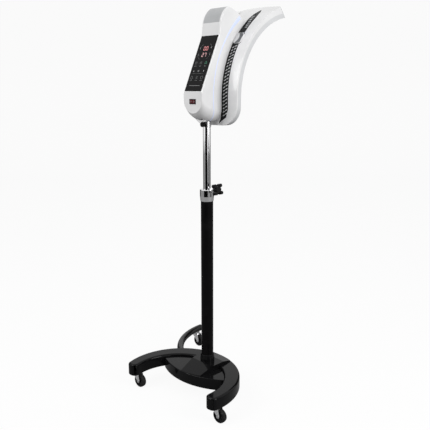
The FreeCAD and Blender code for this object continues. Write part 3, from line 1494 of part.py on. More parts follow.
def seam_side(offset):
    """Region in front of the housing's joint line, moved by offset."""
    radius = mm.seam_radius + offset
    spring = back_centre.z
    half = mm.housing_width
    centre = Vector(mm.seam_radius - mm.seam_reach, 0, spring)
    joint_x = centre.x - radius
    lower_radius = mm.seam_low_radius - offset
    turn = SEAM_LOW_TURN
    lower_centre = Vector(joint_x - lower_radius, 0, spring)
    low_middle = lower_centre + Vector(math.cos(turn / 2), 0, -math.sin(turn / 2)) * lower_radius
    low_end = lower_centre + Vector(math.cos(turn), 0, -math.sin(turn)) * lower_radius
    upper_turn = SEAM_HIGH_TURN
    upper_middle = centre + Vector(-math.cos(upper_turn / 2), 0, math.sin(upper_turn / 2)) * radius
    upper_end = centre + Vector(-math.cos(upper_turn), 0, math.sin(upper_turn)) * radius
    start = Vector(joint_x, 0, spring)
    left = -3 * mm.face_reach
    edges = [
        Part.Arc(low_end, low_middle, start).toShape(),
        Part.Arc(start, upper_middle, upper_end).toShape(),
        Part.makeLine(upper_end, Vector(upper_end.x, 0, 3 * radius)),
        Part.makeLine(Vector(upper_end.x, 0, 3 * radius), Vector(left, 0, 3 * radius)),
        Part.makeLine(Vector(left, 0, 3 * radius), Vector(left, 0, low_end.z)),
        Part.makeLine(Vector(left, 0, low_end.z), low_end),
    ]
    slab = Part.Face(Part.Wire(edges)).extrude(ALONG_Y * 2 * half)
    slab.translate(ALONG_Y * -half)
    return slab


def panel_block(thickness, margin, lift):
    """A plate on the sloping panel plane, lift above the plane at its outer face."""
    length = math.hypot(mm.panel_rise, mm.panel_lean) - 2 * margin
    half = mm.panel_width / 2 - (margin - mm.panel_margin)
    plate = box(-lift, thickness - lift, -half, half, margin, margin + length)
    return on_panel(plate)


def housing():
    """Front and rear mouldings of the control housing, hollow and open to the hood's back."""
    outer = housing_form(0)

    def long_front_edge(edge):
        middle = edge.CenterOfMass
        on_side = abs(abs(middle.y) - mm.housing_width / 2) < 0.5
        return on_side and middle.x < mm.apex_reach and middle.z > mm.panel_foot

    outer = outer.makeFillet(
        mm.housing_edge_round, [e for e in outer.Edges if long_front_edge(e)]
    )
    hood = crowned_sweep(-mm.gap, mm.hood_width / 2, -3 * mm.hood_bottom)
    shell = outer.cut(housing_form(mm.housing_wall)).cut(hood).cut(inside_front(0))
    half_slot = mm.slot_width / 2
    slot = box(-mm.slot_front, mm.slot_back, -half_slot, half_slot, -2 * mm.hood_bottom, 0)
    bracket_back = mm.hood_front_reach - mm.hood_depth
    half_room = ear_inside() + mm.bracket_flange + mm.gap
    bracket_room = box(bracket_back - mm.ear_thickness - 3 * mm.gap, 2 * bracket_back,
                       -half_room, half_room, -2 * mm.hood_bottom, 3 * mm.tongue_radius + mm.gap)
    shell = shell.cut([slot, bracket_room])
    seat_depth = mm.panel_thickness - mm.panel_proud
    front = shell.common(seam_side(mm.seam_gap))
    front = front.cut(panel_block(seat_depth + 20, mm.panel_margin - 0.2, 20))
    ledge = panel_block(mm.housing_wall, mm.panel_margin, -seat_depth)
    window = panel_block(4 * mm.housing_wall, mm.panel_margin + 8, 0)
    front = front.fuse(ledge).cut(window).removeSplitter()
    rim = mm.switch_rim / 2
    half_width = mm.switch_width / 2 - rim
    half_height = mm.switch_height / 2 - rim
    switch_hole = box(-2 * mm.face_reach, 0, -half_width, half_width,
                      mm.switch_rise - half_height, mm.switch_rise + half_height)
    front = front.cut(switch_hole)
    rear = shell.cut(seam_side(0))
    inlet = inlet_box(mm.inlet_width, 0, mm.housing_width)
    feature_from("housing_front", front, z=pin_height)
    feature_from("housing_rear", rear.cut(inlet), z=pin_height)
    feature_from("control_panel", panel_block(mm.panel_thickness, mm.panel_margin, mm.panel_proud),
                 z=pin_height)


def inlet_box(width, start_y, end_y):
    """A block round the mains inlet, between the joint line and the hood's back."""
    middle_x = (back_centre.x - mm.hood_back_radius - mm.seam_reach) / 2
    half_height = width * 0.36
    return box(middle_x - width / 2, middle_x + width / 2, start_y, end_y,
               mm.inlet_height - half_height, mm.inlet_height + half_height)


# ---------------------------------------------------------------- switch, electrics, fan


def power_switch():
    """Frame with the switch body behind it, and the rocker resting with one side pressed."""
    face = -mm.face_reach
    low, high = mm.switch_rise - mm.switch_height / 2, mm.switch_rise + mm.switch_height / 2
    half = mm.switch_width / 2
    rim = mm.switch_rim
    proud = rim
    frame = box(face - proud, face, -half, half, low, high)
    outer_edges = [e for e in frame.Edges if abs(e.BoundBox.XMax - face + proud) < TINY]
    frame = frame.makeFillet(1, outer_edges)
    slack = rim / 2 + 0.1
    body = box(face, face + mm.switch_depth, -half + slack, half - slack, low + slack, high - slack)
    room = box(face - 2 * proud, face + mm.switch_depth - 4, -half + rim, half - rim, low + rim,
               high - rim)
    pivot = Vector(face + 6, 0, mm.switch_rise)
    pin_radius = 1.5
    pin_half = mm.switch_height / 2 - slack - 0.3
    pin_hole = cylinder(pin_radius + mm.running_fit, pivot - UP * (pin_half + 0.1), UP,
                        2 * pin_half + 0.2)
    feature_from("switch_frame", frame.fuse(body).cut(room).cut(pin_hole), z=pin_height)

    throw = mm.rocker_throw / 2
    rocker_half = half - rim - 1.5
    lip = rocker_half * math.tan(math.radians(throw))
    front_x = face - proud + 1
    outline = [
        (front_x, 0), (front_x - lip, rocker_half), (face + 1, rocker_half),
        (face + 9, rocker_half * 0.5), (face + 9, -rocker_half * 0.5), (face + 1, -rocker_half),
        (front_x - lip, -rocker_half),
    ]
    rocker_low, rocker_high = low + rim + 0.2, high - rim - 0.2
    corners = [Vector(x, y, rocker_low) for x, y in outline]
    rocker = prism(corners, UP * (rocker_high - rocker_low))
    rocker = rocker.fuse(cylinder(pin_radius, pivot - UP * pin_half, UP, 2 * pin_half))
    rocker.rotate(pivot, UP, throw)
    feature_from("switch_rocker", settled(rocker), z=pin_height)


def electrics():
    """Control board with its spacers and displays, power module and mains inlet."""
    slope_length = math.hypot(mm.panel_rise, mm.panel_lean)
    half = mm.board_width / 2
    low = (slope_length - mm.board_length) / 2
    high = low + mm.board_length
    seat = mm.panel_thickness - mm.panel_proud + 0.1
    pieces = [box(mm.board_depth, mm.board_depth + 1.6, -half, half, low, high)]
    for y in (-half + 4, half - 4):
        for z in (low + 5, high - 5):
            pieces.append(cylinder(3, Vector(seat, y, z), ALONG_X, mm.board_depth - seat))
    feature_from("control_board", on_panel(joined(pieces)), z=pin_height)
    displays = []
    for step in (0.60, 0.72):
        middle = slope_length * step
        displays.append(box(seat + 0.2, mm.board_depth - 0.1, -19, 19, middle - 10, middle + 10))
    feature_from("led_displays", on_panel(Part.makeCompound(displays)), z=pin_height)

    start = back_start()
    module = box(start.x - mm.power_height, start.x + 2, -30, 30, start.z - 24, start.z + 24)
    module = on_back(module, mm.power_station)
    module = module.cut(crowned_sweep(-mm.gap, mm.hood_width / 2, -mm.hood_bottom))
    feature_from("power_module", module, z=pin_height)

    wall = mm.housing_width / 2
    body = inlet_box(mm.inlet_width - 0.4, wall - 22, wall)
    flange = inlet_box(mm.inlet_width + 6, wall, wall + 2)
    recess = inlet_box(mm.inlet_width - 5, wall - 16, wall + 5)
    inlet = body.fuse(flange).cut(recess)
    recess_middle = recess.CenterOfMass
    for offset, drop in ((-7, 0), (0, -3), (7, 0)):
        pin = box(recess_middle.x + offset - 1, recess_middle.x + offset + 1, wall - 17, wall - 2,
                  recess_middle.z + drop - 2, recess_middle.z + drop + 2)
        inlet = inlet.fuse(pin)
    feature_from("mains_inlet", inlet, z=pin_height)


def on_panel(shape):
    """Moves a shape from the pin's upright plane onto the sloping panel plane."""
    lean = math.degrees(math.atan2(mm.panel_lean, mm.panel_rise))
    shape.rotate(Vector(), ALONG_Y, lean)
    shape.translate(Vector(-mm.face_reach, 0, mm.panel_foot))
    return settled(shape)


def fan():
    """Axial fan that blows through the hood's back: frame with struts, and the bladed rotor."""
    start = back_start() - ALONG_X * mm.fan_standoff
    half = mm.fan_size / 2
    front = start - ALONG_X * mm.fan_depth
    frame = box(front.x, start.x, -half, half, start.z - half, start.z + half)
    frame = frame.makeFillet(5, [e for e in frame.Edges if e.BoundBox.XLength > 1])
    frame = frame.cut(cylinder(mm.fan_bore / 2, front, ALONG_X, mm.fan_depth))
    hub_radius = mm.fan_hub / 2
    motor_depth = 5
    motor = cylinder(hub_radius, front, ALONG_X, motor_depth)
    struts = []
    for step in range(4):
        strut = box(front.x, front.x + 3, -2, 2, start.z, start.z + mm.fan_bore / 2 + 1)
        strut.rotate(front, ALONG_X, 45 + 90 * step)
        struts.append(strut)
    posts = []
    for y in (-1, 1):
        for z in (-1, 1):
            corner = start + Vector(0, y * (half - 5), z * (half - 5))
            posts.append(cylinder(4, corner, ALONG_X, 3 * mm.fan_standoff))
    shaft_hole = cylinder(mm.fan_shaft / 2 + mm.running_fit, front, ALONG_X, motor_depth)
    frame = frame.fuse([motor, *struts, *posts]).removeSplitter().cut(shaft_hole)
    frame = on_back(frame, mm.fan_station)
    frame = frame.cut(crowned_sweep(-0.2, mm.hood_width / 2, -mm.hood_bottom))
    feature_from("fan_frame", frame, z=pin_height)

    rotor_front = front + ALONG_X * (motor_depth + 0.5)
    rotor_depth = mm.fan_depth - motor_depth - 2
    tip_radius = mm.fan_bore / 2 - mm.blade_gap
    rotor = [cylinder(hub_radius, rotor_front, ALONG_X, rotor_depth)]
    rotor.append(cylinder(mm.fan_shaft / 2, front + ALONG_X * 0.5, ALONG_X, motor_depth + 1))
    middle_x = rotor_front.x + rotor_depth / 2
    blades = int(mm.fan_blades)
    for step in range(blades):
        blade = box(middle_x - rotor_depth * 0.52, middle_x + rotor_depth * 0.52, -0.8, 0.8,
                    start.z + hub_radius - 3, start.z + mm.fan_bore)
        blade.rotate(Vector(middle_x, 0, start.z), UP, 38)
        blade.rotate(start, ALONG_X, 360 / blades * step)
        rotor.append(blade)
    rotor = rotor[0].fuse(rotor[1:]).removeSplitter()
    rotor = rotor.common(cylinder(tip_radius, front, ALONG_X, mm.fan_depth))
    feature_from("fan_rotor", settled(on_back(rotor, mm.fan_station)), z=pin_height)


# ---------------------------------------------------------------- build and write


def check_and_write():
    """Stops on any failed object or bad shape, then writes one STEP file for each sub-part."""
    doc.recompute()
    for thing in doc.Objects:
        if "Invalid" in thing.State or "Error" in thing.State:
            raise RuntimeError(f"{thing.Label} failed: {thing.State}")
    for thing in sub_parts:
        if thing.Shape.isNull() or not thing.Shape.isValid() or not thing.Shape.Solids:
            raise RuntimeError(f"{thing.Label} has no valid solid")
    os.makedirs("parts", exist_ok=True)
    for thing in sub_parts:
        thing.Shape.exportStep(f"parts/{thing.Label}.step")
        print(thing.Label, len(thing.Shape.Solids), round(thing.Shape.Volume))


def main():
    base_shell()
    hub_cover()
    base_pan()
    ballast()
    base_screws()
    rear_leg()
    for side, (x, y) in CASTERS.items():
        caster_fork(side, x, y)
        caster_wheel(side, x, y)
    caster_sockets()
    poles()
    clamp_collar()
    clamp_knob()
    neck()
    tilt_bracket()
    hood_pieces()
    vent_strip(-1, "vent_strip_right")
    vent_strip(1, "vent_strip_left")
    lamps()
    lamp_guard()
    housing()
    power_switch()
    electrics()
    fan()
    check_and_write()


main()
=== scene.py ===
import math

import bmesh
import bpy
from bpy.props import FloatProperty, FloatVectorProperty, IntProperty, PointerProperty
from mathutils import Matrix, Vector
from mathutils.bvhtree import BVHTree


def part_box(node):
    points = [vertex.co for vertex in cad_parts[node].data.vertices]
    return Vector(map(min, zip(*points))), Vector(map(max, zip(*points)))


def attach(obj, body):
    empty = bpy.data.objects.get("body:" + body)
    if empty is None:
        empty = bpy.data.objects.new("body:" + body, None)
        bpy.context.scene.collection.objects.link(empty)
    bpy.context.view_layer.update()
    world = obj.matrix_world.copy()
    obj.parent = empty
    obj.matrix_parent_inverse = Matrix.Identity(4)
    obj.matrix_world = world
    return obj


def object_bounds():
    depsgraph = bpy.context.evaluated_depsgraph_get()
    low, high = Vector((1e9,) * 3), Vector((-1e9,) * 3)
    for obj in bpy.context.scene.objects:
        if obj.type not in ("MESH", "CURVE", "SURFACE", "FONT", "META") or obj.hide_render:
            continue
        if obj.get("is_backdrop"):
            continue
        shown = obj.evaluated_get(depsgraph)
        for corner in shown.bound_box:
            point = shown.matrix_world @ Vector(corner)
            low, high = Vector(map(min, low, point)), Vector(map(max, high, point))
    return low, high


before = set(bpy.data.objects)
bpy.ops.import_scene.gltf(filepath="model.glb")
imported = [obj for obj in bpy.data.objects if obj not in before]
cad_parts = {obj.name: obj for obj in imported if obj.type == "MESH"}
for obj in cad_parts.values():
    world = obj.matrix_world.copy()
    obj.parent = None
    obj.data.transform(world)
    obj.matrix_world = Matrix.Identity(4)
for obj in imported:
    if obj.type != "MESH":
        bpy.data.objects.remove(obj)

bl_info = {
    "name": "Hair color processor looks",
    "version": (1, 0, 0),
    "blender": (4, 5, 0),
    "location": "3D View > Sidebar > Processor",
    "description": "Materials, small parts, light and camera for the hair color processor",
    "category": "Object",
}

CAD_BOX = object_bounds()
MATERIAL_PREFIX = "hcp_"
UP = Vector((0, 0, 1))
ALONG_X = Vector((1, 0, 0))
ALONG_Y = Vector((0, 1, 0))
SQUARE = ((-1, -1), (1, -1), (1, 1), (-1, 1))


# ------------------------------------------------------------------ shader maths


class Wire:
    """A shader value on which Python's operators add Math nodes."""

    def __init__(self, graph, socket):
        self.graph = graph
        self.socket = socket

    def __add__(self, other):
        return self.graph.maths("ADD", self, other)

    def __radd__(self, other):
        return self.graph.maths("ADD", other, self)

    def __sub__(self, other):
        return self.graph.maths("SUBTRACT", self, other)

    def __rsub__(self, other):
        return self.graph.maths("SUBTRACT", other, self)

    def __mul__(self, other):
        return self.graph.maths("MULTIPLY", self, other)

    def __rmul__(self, other):
        return self.graph.maths("MULTIPLY", other, self)

    def __abs__(self):
        return self.graph.maths("ABSOLUTE", self)

    def at_most(self, limit):
        return self.graph.maths("MINIMUM", self, limit)

    def between(self, low, high):
        """Runs from low to high as this mask runs from 0 to 1."""
        return self * (high - low) + low

    def ramp(self, low, high):
        """0 at low, 1 at high, smooth between."""
        sockets = {"Value": self, "From Min": low, "From Max": high}
        node = self.graph.add("ShaderNodeMapRange", sockets, interpolation_type="SMOOTHSTEP")
        return Wire(self.graph, node.outputs[0])

    def past(self, place, softness=0.0006):
        """0 before a place and 1 past it, with a soft edge between."""
        return self.ramp(place - softness, place + softness)


class Graph:
    """A shader tree that is built up node by node."""

    def __init__(self, tree):
        self.tree = tree

    def add(self, kind, sockets=None, **settings):
        """A node with its settings first, then the values or links of its sockets."""
        node = self.tree.nodes.new(kind)
        for name, value in settings.items():
            setattr(node, name, value)
        for socket, value in (sockets or {}).items():
            self.feed(node.inputs[socket], value)
        return node

    def feed(self, socket, value):
        """Links a socket to another one, or sets its value."""
        if isinstance(value, Wire):
            value = value.socket
        if isinstance(value, bpy.types.NodeSocket):
            self.tree.links.new(value, socket)
        elif socket.type == "RGBA" and len(value) == 3:
            socket.default_value = (*value, 1)
        else:
            socket.default_value = value

    def maths(self, operation, *values):
        node = self.add("ShaderNodeMath", dict(enumerate(values)), operation=operation)
        return Wire(self, node.outputs[0])

    def rays(self, *kinds):
        """One mask for each kind of light path, such as Camera or Glossy."""
        path = self.add("ShaderNodeLightPath")
        return [Wire(self, path.outputs[f"Is {kind} Ray"]) for kind in kinds]


class Finish(Graph):
    """The tree of one material with a Principled surface, textured in metres."""

    def __init__(self, name, **constants):
        self.material = bpy.data.materials.new(MATERIAL_PREFIX + name)
        self.material.use_nodes = True
        super().__init__(self.material.node_tree)
        self.shader = self.tree.nodes["Principled BSDF"]
        self.out(**constants)
        self.position = self.add("ShaderNodeTexCoord").outputs["Object"]

    def out(self, **sockets):
        """Feeds the Principled surface and returns the material."""
        for name, value in sockets.items():
            self.feed(self.shader.inputs[name.replace("_", " ")], value)
        return self.material

    def axes(self):
        node = self.add("ShaderNodeSeparateXYZ", {0: self.position})
        return [Wire(self, output) for output in node.outputs]

    def stretched(self, x, y, z):
        sockets = {0: self.position, 1: (x, y, z)}
        return self.add("ShaderNodeVectorMath", sockets, operation="MULTIPLY").outputs[0]

    def noise(self, scale, detail=3.0, roughness=0.55, vector=None, distortion=0.0):
        """Cloudy noise; the scale is about the number of marks in a metre."""
        sockets = {"Vector": vector or self.position, "Scale": scale, "Detail": detail,
                   "Roughness": roughness, "Distortion": distortion}
        return Wire(self, self.add("ShaderNodeTexNoise", sockets).outputs[0])

    def cells(self, scale, vector=None):
        """Distance from the middle of the nearest of many small cells."""
        sockets = {"Vector": vector or self.position, "Scale": scale}
        return Wire(self, self.add("ShaderNodeTexVoronoi", sockets).outputs["Distance"])

    def blend(self, mask, low, high):
        """A colour that is low where the mask is 0 and high where it is 1."""
        sockets = {"Factor": mask, 6: low, 7: high}
        return self.add("ShaderNodeMix", sockets, data_type="RGBA").outputs[2]

    def mottled(self, mask, colour, dark, light):
        """The colour, darkened where the mask is 0 and lightened where it is 1."""
        return self.blend(mask, shade(colour, dark), shade(colour, light))

    def bump(self, height, distance, strength):
        """A surface direction that follows a height; the distance is in metres."""
        sockets = {"Strength": strength, "Distance": distance, "Height": height}
        return self.add("ShaderNodeBump", sockets).outputs[0]


def shade(base, factor):
    return tuple(min(1, channel * factor) for channel in base)


def grey(level):
    return (level, level, level)


# ------------------------------------------------------------------ finishes

PEEL_SCALE = 900
DUST = (0.32, 0.31, 0.30)
SCUFF = (0.11, 0.105, 0.10)
QUARTZ_FILM = ((0.97, 0.90, 0.74), (0.98, 0.95, 0.88))
ALUMINIUM = ((0.80, 0.80, 0.79), (0.90, 0.90, 0.89))
SOLDER_MASK = ((0.03, 0.30, 0.12), (0.01, 0.14, 0.05))


def flow_marks(finish, scale=9):
    """Slow bands left by the melt as it filled the mould."""
    return finish.noise(scale, detail=4).ramp(0.3, 0.7)


def handling_wear(finish):
    """Patches dulled by hands and cloths."""
    return finish.noise(60, detail=5, roughness=0.6, distortion=0.4).ramp(0.52, 0.74)


def moulded(name, colour, roughness=0.2, coat=0.0, dust=0.0, grain=PEEL_SCALE, relief=2e-5,
            sheen=0.5):
    """Moulded plastic: faint flow marks in the colour, orange peel and light handling wear."""
    finish = Finish(name, Coat_Weight=coat, Coat_Roughness=0.06, IOR=1.5, Specular_IOR_Level=sheen)
    tone = finish.mottled(flow_marks(finish), colour, dark=0.955, light=1.03)
    if dust:
        settled = finish.noise(240, detail=4, roughness=0.7).ramp(0.5, 0.8) * dust
        tone = finish.blend(settled, tone, DUST)
    rough = handling_wear(finish).between(roughness - 0.02, roughness + 0.08)
    peel = finish.noise(grain, detail=2)
    return finish.out(Base_Color=tone, Roughness=rough,
                      Normal=finish.bump(peel, relief, strength=0.6))


def powder_coated(name, colour, roughness=0.32):
    """Powder-coated steel: fine pebbled skin with rubbed patches."""
    finish = Finish(name, IOR=1.5, Specular_IOR_Level=0.07)
    rub = finish.noise(22, detail=5, roughness=0.6).ramp(0.45, 0.75)
    tone = finish.mottled(rub, colour, dark=0.85, light=1.45)
    pebble = finish.cells(1500)
    return finish.out(Base_Color=tone, Roughness=rub.between(roughness - 0.03, roughness + 0.07),
                      Normal=finish.bump(pebble, 4e-5, strength=0.5))


def plated(name, colour, roughness=0.07, stretch=(1, 1, 1), smear=0.12):
    """Chromed or bright steel with fine draw lines and finger smears."""
    finish = Finish(name, Metallic=1.0)
    lines = finish.noise(700, detail=2, roughness=0.5, vector=finish.stretched(*stretch))
    smears = finish.noise(35, detail=5, roughness=0.65, distortion=0.8).ramp(0.5, 0.8)
    tone = finish.blend(smears, colour, shade(colour, 0.86))
    rough = smears * smear + lines.between(roughness, roughness + 0.05)
    return finish.out(Base_Color=tone, Roughness=rough,
                      Normal=finish.bump(lines, 1e-5, strength=0.35))


def rubbery(name, colour, roughness=0.62):
    """Tyre rubber: matt, with scuffs picked up from the floor."""
    finish = Finish(name, IOR=1.45, Specular_IOR_Level=0.12)
    scuff = finish.noise(130, detail=6, roughness=0.7).ramp(0.5, 0.72)
    tone = finish.blend(scuff * 0.5, colour, SCUFF)
    grain = finish.noise(1600, detail=2)
    return finish.out(Base_Color=tone, Roughness=scuff.between(roughness, roughness + 0.2),
                      Normal=finish.bump(grain, 6e-5, strength=0.5))


def quartz(name):
    """Clear quartz tube with a faint gold film."""
    finish = Finish(name, IOR=1.46, Transmission_Weight=0.75)
    film = finish.noise(40).ramp(0.3, 0.7)
    return finish.out(Base_Color=finish.blend(film, *QUARTZ_FILM),
                      Roughness=film.between(0.02, 0.07))


def rolled_sheet(name):
    """Bright rolled aluminium with a hammered dimple pattern."""
    finish = Finish(name, Metallic=1.0)
    dimple = finish.cells(150).ramp(0.1, 0.7)
    streak = finish.noise(260, detail=2, roughness=0.5, vector=finish.stretched(1, 14, 1))
    return finish.out(Base_Color=finish.blend(streak, *ALUMINIUM),
                      Roughness=streak.between(0.16, 0.26),
                      Normal=finish.bump(dimple, 3e-4, strength=0.4))


def circuit(name):
    """Solder mask with tracks seen through it."""
    finish = Finish(name, IOR=1.5)
    tracks = finish.cells(420, vector=finish.stretched(1, 1, 0.2)).ramp(0.25, 0.3)
    return finish.out(Base_Color=finish.blend(tracks, *SOLDER_MASK),
                      Roughness=tracks.between(0.35, 0.50))


def glazed(name, colour, roughness, grain=700):
    """Fired ceramic or cast metal: pitted and slightly uneven in colour."""
    finish = Finish(name, IOR=1.5)
    pits = finish.noise(grain, detail=4, roughness=0.7)
    tone = finish.mottled(pits.ramp(0.35, 0.65), colour, dark=0.88, light=1.04)
    return finish.out(Base_Color=tone, Roughness=pits.between(roughness, roughness + 0.2),
                      Normal=finish.bump(pits, 1.2e-4, strength=0.5))


def housing_plastic(name, looks):
    """White moulding whose cap is inset with a grey satin field."""
    finish = Finish(name, Coat_Weight=0.25, Coat_Roughness=0.06, IOR=1.5)
    x, y, z = finish.axes()
    cap = z.past(looks.cap_low) * (1 - x.past(looks.cap_back)) * (1 - abs(y).past(looks.cap_half))
    white = finish.mottled(flow_marks(finish), looks.white, dark=0.965, light=1.02)
    satin = finish.mottled(flow_marks(finish, 14), looks.cap_grey, dark=0.92, light=1.05)
    rough = handling_wear(finish).between(0.16, 0.26) + cap * 0.14
    peel = finish.noise(PEEL_SCALE, detail=2)
    return finish.out(Base_Color=finish.blend(cap, white, satin), Roughness=rough,
                      Normal=finish.bump(peel, 2e-5, strength=0.6))


def lit_mark_and_painted_highlight(name, colour, strength, off):
    """A lit mark behind smoked plastic, a little uneven over its area; off is its unlit colour. The
    seam's strip also uses it, as a painted highlight.
    """
    finish = Finish(name, Roughness=0.3, Emission_Strength=strength)
    uneven = finish.noise(500, detail=2).ramp(0.2, 0.8)
    return finish.out(Base_Color=finish.mottled(uneven, off, dark=1, light=1.2),
                      Emission_Color=finish.mottled(uneven, colour, dark=0.8, light=1))


# ------------------------------------------------------------------ sizes and colours


def colour(name, description, default):
    return FloatVectorProperty(name=name, description=description, default=default, subtype="COLOR")


def length(name, description, default):
    return FloatProperty(name=name, description=description, default=default, unit="LENGTH")


def angle(name, description, degrees):
    return FloatProperty(name=name, description=description, default=math.radians(degrees),
                         subtype="ANGLE")


def watts(name, description, default):
    return FloatProperty(name=name, description=description, default=default, unit="POWER")


def figure(name, description, default):
    """What one display shows, in two digits."""
    return IntProperty(name=name, description=description, default=default, min=0, max=99)


class ProcessorLooks(bpy.types.PropertyGroup):
    """Colours and boundaries of the mouldings, in the CAD frame."""

    white: colour("White", "Housing and hood mouldings", (0.86, 0.86, 0.865))
    # Painted shade: this grey stands for the shade on the hood's edge face, which turns away from
    # the light.
    rim_painted_shade: colour("Rim", "Rim round the open side of the hood", (0.70, 0.71, 0.72))
    cap_grey: colour("Cap", "Inset field on the housing's cap", (0.44, 0.45, 0.46))
    vent_grey: colour("Vents", "Perforated strips", (0.020, 0.021, 0.022))
    slat_grey: colour("Slats", "Slats across the vent strips", (0.80, 0.81, 0.82))
    insert_grey: colour("Bridge inserts", "Insert on each vent's bridge", (0.13, 0.135, 0.14))
    gloss_black: colour("Gloss black", "Panel and base mouldings", (0.005, 0.005, 0.0055))
    satin_black: colour("Satin black", "Knobs and the switch frame", (0.005, 0.005, 0.0055))
    pole_black: colour("Pole", "Powder coat of the pole", (0.0045, 0.0042, 0.0045))
    rocker_red: colour("Rocker", "Power switch", (0.085, 0.004, 0.008))
    # Painted highlight: the seam's strip glows in this bluish colour to stand for the light along
    # the housing's joint.
    seam_highlight_blue: colour("Seam trim", "Light that the trim gives", (0.60, 0.70, 1.0))
    digit_red: colour("Upper digits", "Lit figures of the upper display", (1.0, 0.42, 0.42))
    digit_pale: colour("Lower digits", "Lit figures of the lower display", (1.0, 0.66, 0.68))
    led_green: colour("Lit key", "Sign of the lit touch key", (0.10, 0.50, 0.30))
    upper_figure: figure("Upper figure", "What the upper display shows", 0)
    lower_figure: figure("Lower figure", "What the lower display shows", 27)
    cap_low: length("Cap start", "Lower edge of the grey field", 1.499)
    cap_back: length("Cap end", "Rear edge of the grey field", 0.078)
    cap_half: length("Cap half width", "From the middle plane", 0.0435)


class ProcessorPlan(bpy.types.PropertyGroup):
    """Places in the CAD frame that the added pieces follow."""

    back_x: length("Back centre X", "Centre of the arc of the hood's back", 0.4035)
    back_z: length("Back centre Z", "Height of that centre; the back is straight below it", 1.221)
    back_radius: length("Back radius", "Radius of the hood's back", 0.373)
    front_x: length("Front centre X", "Centre of the arc of the hood's open side", 0.3775)
    front_z: length("Front centre Z", "Height of that centre", 1.219)
    lamp_radius: length("Lamp radius", "Axes of the lamps round the front centre", 0.327)
    lamp_half: length("Filament", "Half length of a filament", 0.078)
    seam_x: length("Seam centre X", "Centre of the arc of the housing's joint", 0.371)
    seam_z: length("Seam centre Z", "Height of that centre", 1.221)
    seam_radius: length("Seam radius", "Radius of the housing's joint", 0.385)
    # The trim in the next three lines is the strip that carries the painted highlight along the
    # joint; its flare follows that highlight's width.
    seam_shift: length("Seam shift", "Trim towards the hood from that arc", 0.0012)
    seam_narrow: length("Seam width", "Width of the trim below its flare", 0.0045)
    seam_flare: length("Seam flare", "What the trim gains up to its top", 0.011)
    panel_foot_x: length("Panel foot X", "Lower edge of the control panel", -0.074)
    panel_foot_z: length("Panel foot Z", "Height of that edge", 1.243)
    panel_lean: length("Panel set-back", "Upper edge behind the lower one", 0.094)
    panel_rise: length("Panel rise", "Upper edge over the lower one", 0.210)
    panel_width: length("Panel width", "Across the housing", 0.091)
    panel_proud: length("Panel over the housing", "Height of its face", 0.0005)
    vent_inner: length("Vents", "Inner edges of the vents from the middle plane", 0.046)
    slat_pitch: length("Pitch of the vent slats", "Along the hood's back", 0.0133)
    slat_slant: angle("Slant of the vent slats", "Outer ends up", 28)
    caster_heading: angle("Caster heading", "Way the wheels roll, from +X", -86)


class StageSettings(bpy.types.PropertyGroup):
    """Camera, light and floor."""

    focal_px: FloatProperty(name="Focal length", description="In pixels of a square image",
                            default=580.0)
    image_px: IntProperty(name="Image", description="Width the focal length refers to",
                          default=430)
    azimuth: angle("View direction", "Heading of the view from +X", 45.0)
    pitch: angle("Pitch", "Downward", 12.166)
    distance: length("Distance", "From the column, level", 2.29)
    height: length("Height", "Camera above the floor", 1.249)
    offset: length("Offset", "Camera to the right of the column", 0.0322)
    key_power: watts("Key light", "Large soft light", 48.0)
    fill_power: watts("Fill light", "Opposite soft light", 62.0)
    top_power: watts("Top light", "Soft light from above", 1.0)
    sky: FloatProperty(name="Surround", description="Strength of the even surround",
                       default=0.48)
    flag_distance: length("Flags", "Black cards from the column", 3.2)


# ------------------------------------------------------------------ helpers


def dress(node, material):
    """Gives a CAD node its material."""
    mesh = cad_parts[node].data
    mesh.materials.clear()
    mesh.materials.append(material)


def add_object(name, data):
    """Puts a mesh, lamp or camera into the scene."""
    thing = bpy.data.objects.new(name, data)
    bpy.context.scene.collection.objects.link(thing)
    return thing


def keep(name, mesh, body, material):
    """Adds a finished mesh as a piece that rides on a CAD body."""
    thing = add_object(name, mesh)
    mesh.materials.append(material)
    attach(thing, body)


def mesh_from(name, build, smooth=None):
    """A mesh that build makes; with smooth, only edges over that many degrees stay sharp."""
    shape = bmesh.new()
    build(shape)
    bmesh.ops.recalc_face_normals(shape, faces=shape.faces)
    mesh = bpy.data.meshes.new(name)
    shape.to_mesh(mesh)
    shape.free()
    if smooth:
        mesh.polygons.foreach_set("use_smooth", [True] * len(mesh.polygons))
        mesh.set_sharp_from_angle(angle=math.radians(smooth))
    return mesh


def skin_rows(shape, rows, closed=False):
    """Faces between rows of vertices; closed rows run all the way round."""
    for low, high in zip(rows, rows[1:]):
        for step in range(len(low) if closed else len(low) - 1):
            nearby = (step + 1) % len(low)
            shape.faces.new((low[step], low[nearby], high[nearby], high[step]))


def ahead(heading):
    """Level direction at a heading from +X."""
    return Vector((math.cos(heading), math.sin(heading), 0))


def spokes(first, second, count):
    """Directions spread evenly round a circle, from first towards second."""
    for step in range(count):
        turn = math.tau * step / count
        yield first * math.cos(turn) + second * math.sin(turn)


def box_of(node):
    """Lowest and highest corner of a CAD node."""
    return [Vector(corner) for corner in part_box(node)]


def skin_of(*nodes):
    """Ray caster over CAD nodes."""
    shape = bmesh.new()
    for node in nodes:
        shape.from_mesh(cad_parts[node].data)
    tree = BVHTree.FromBMesh(shape)
    shape.free()
    return tree


# ------------------------------------------------------------------ stage

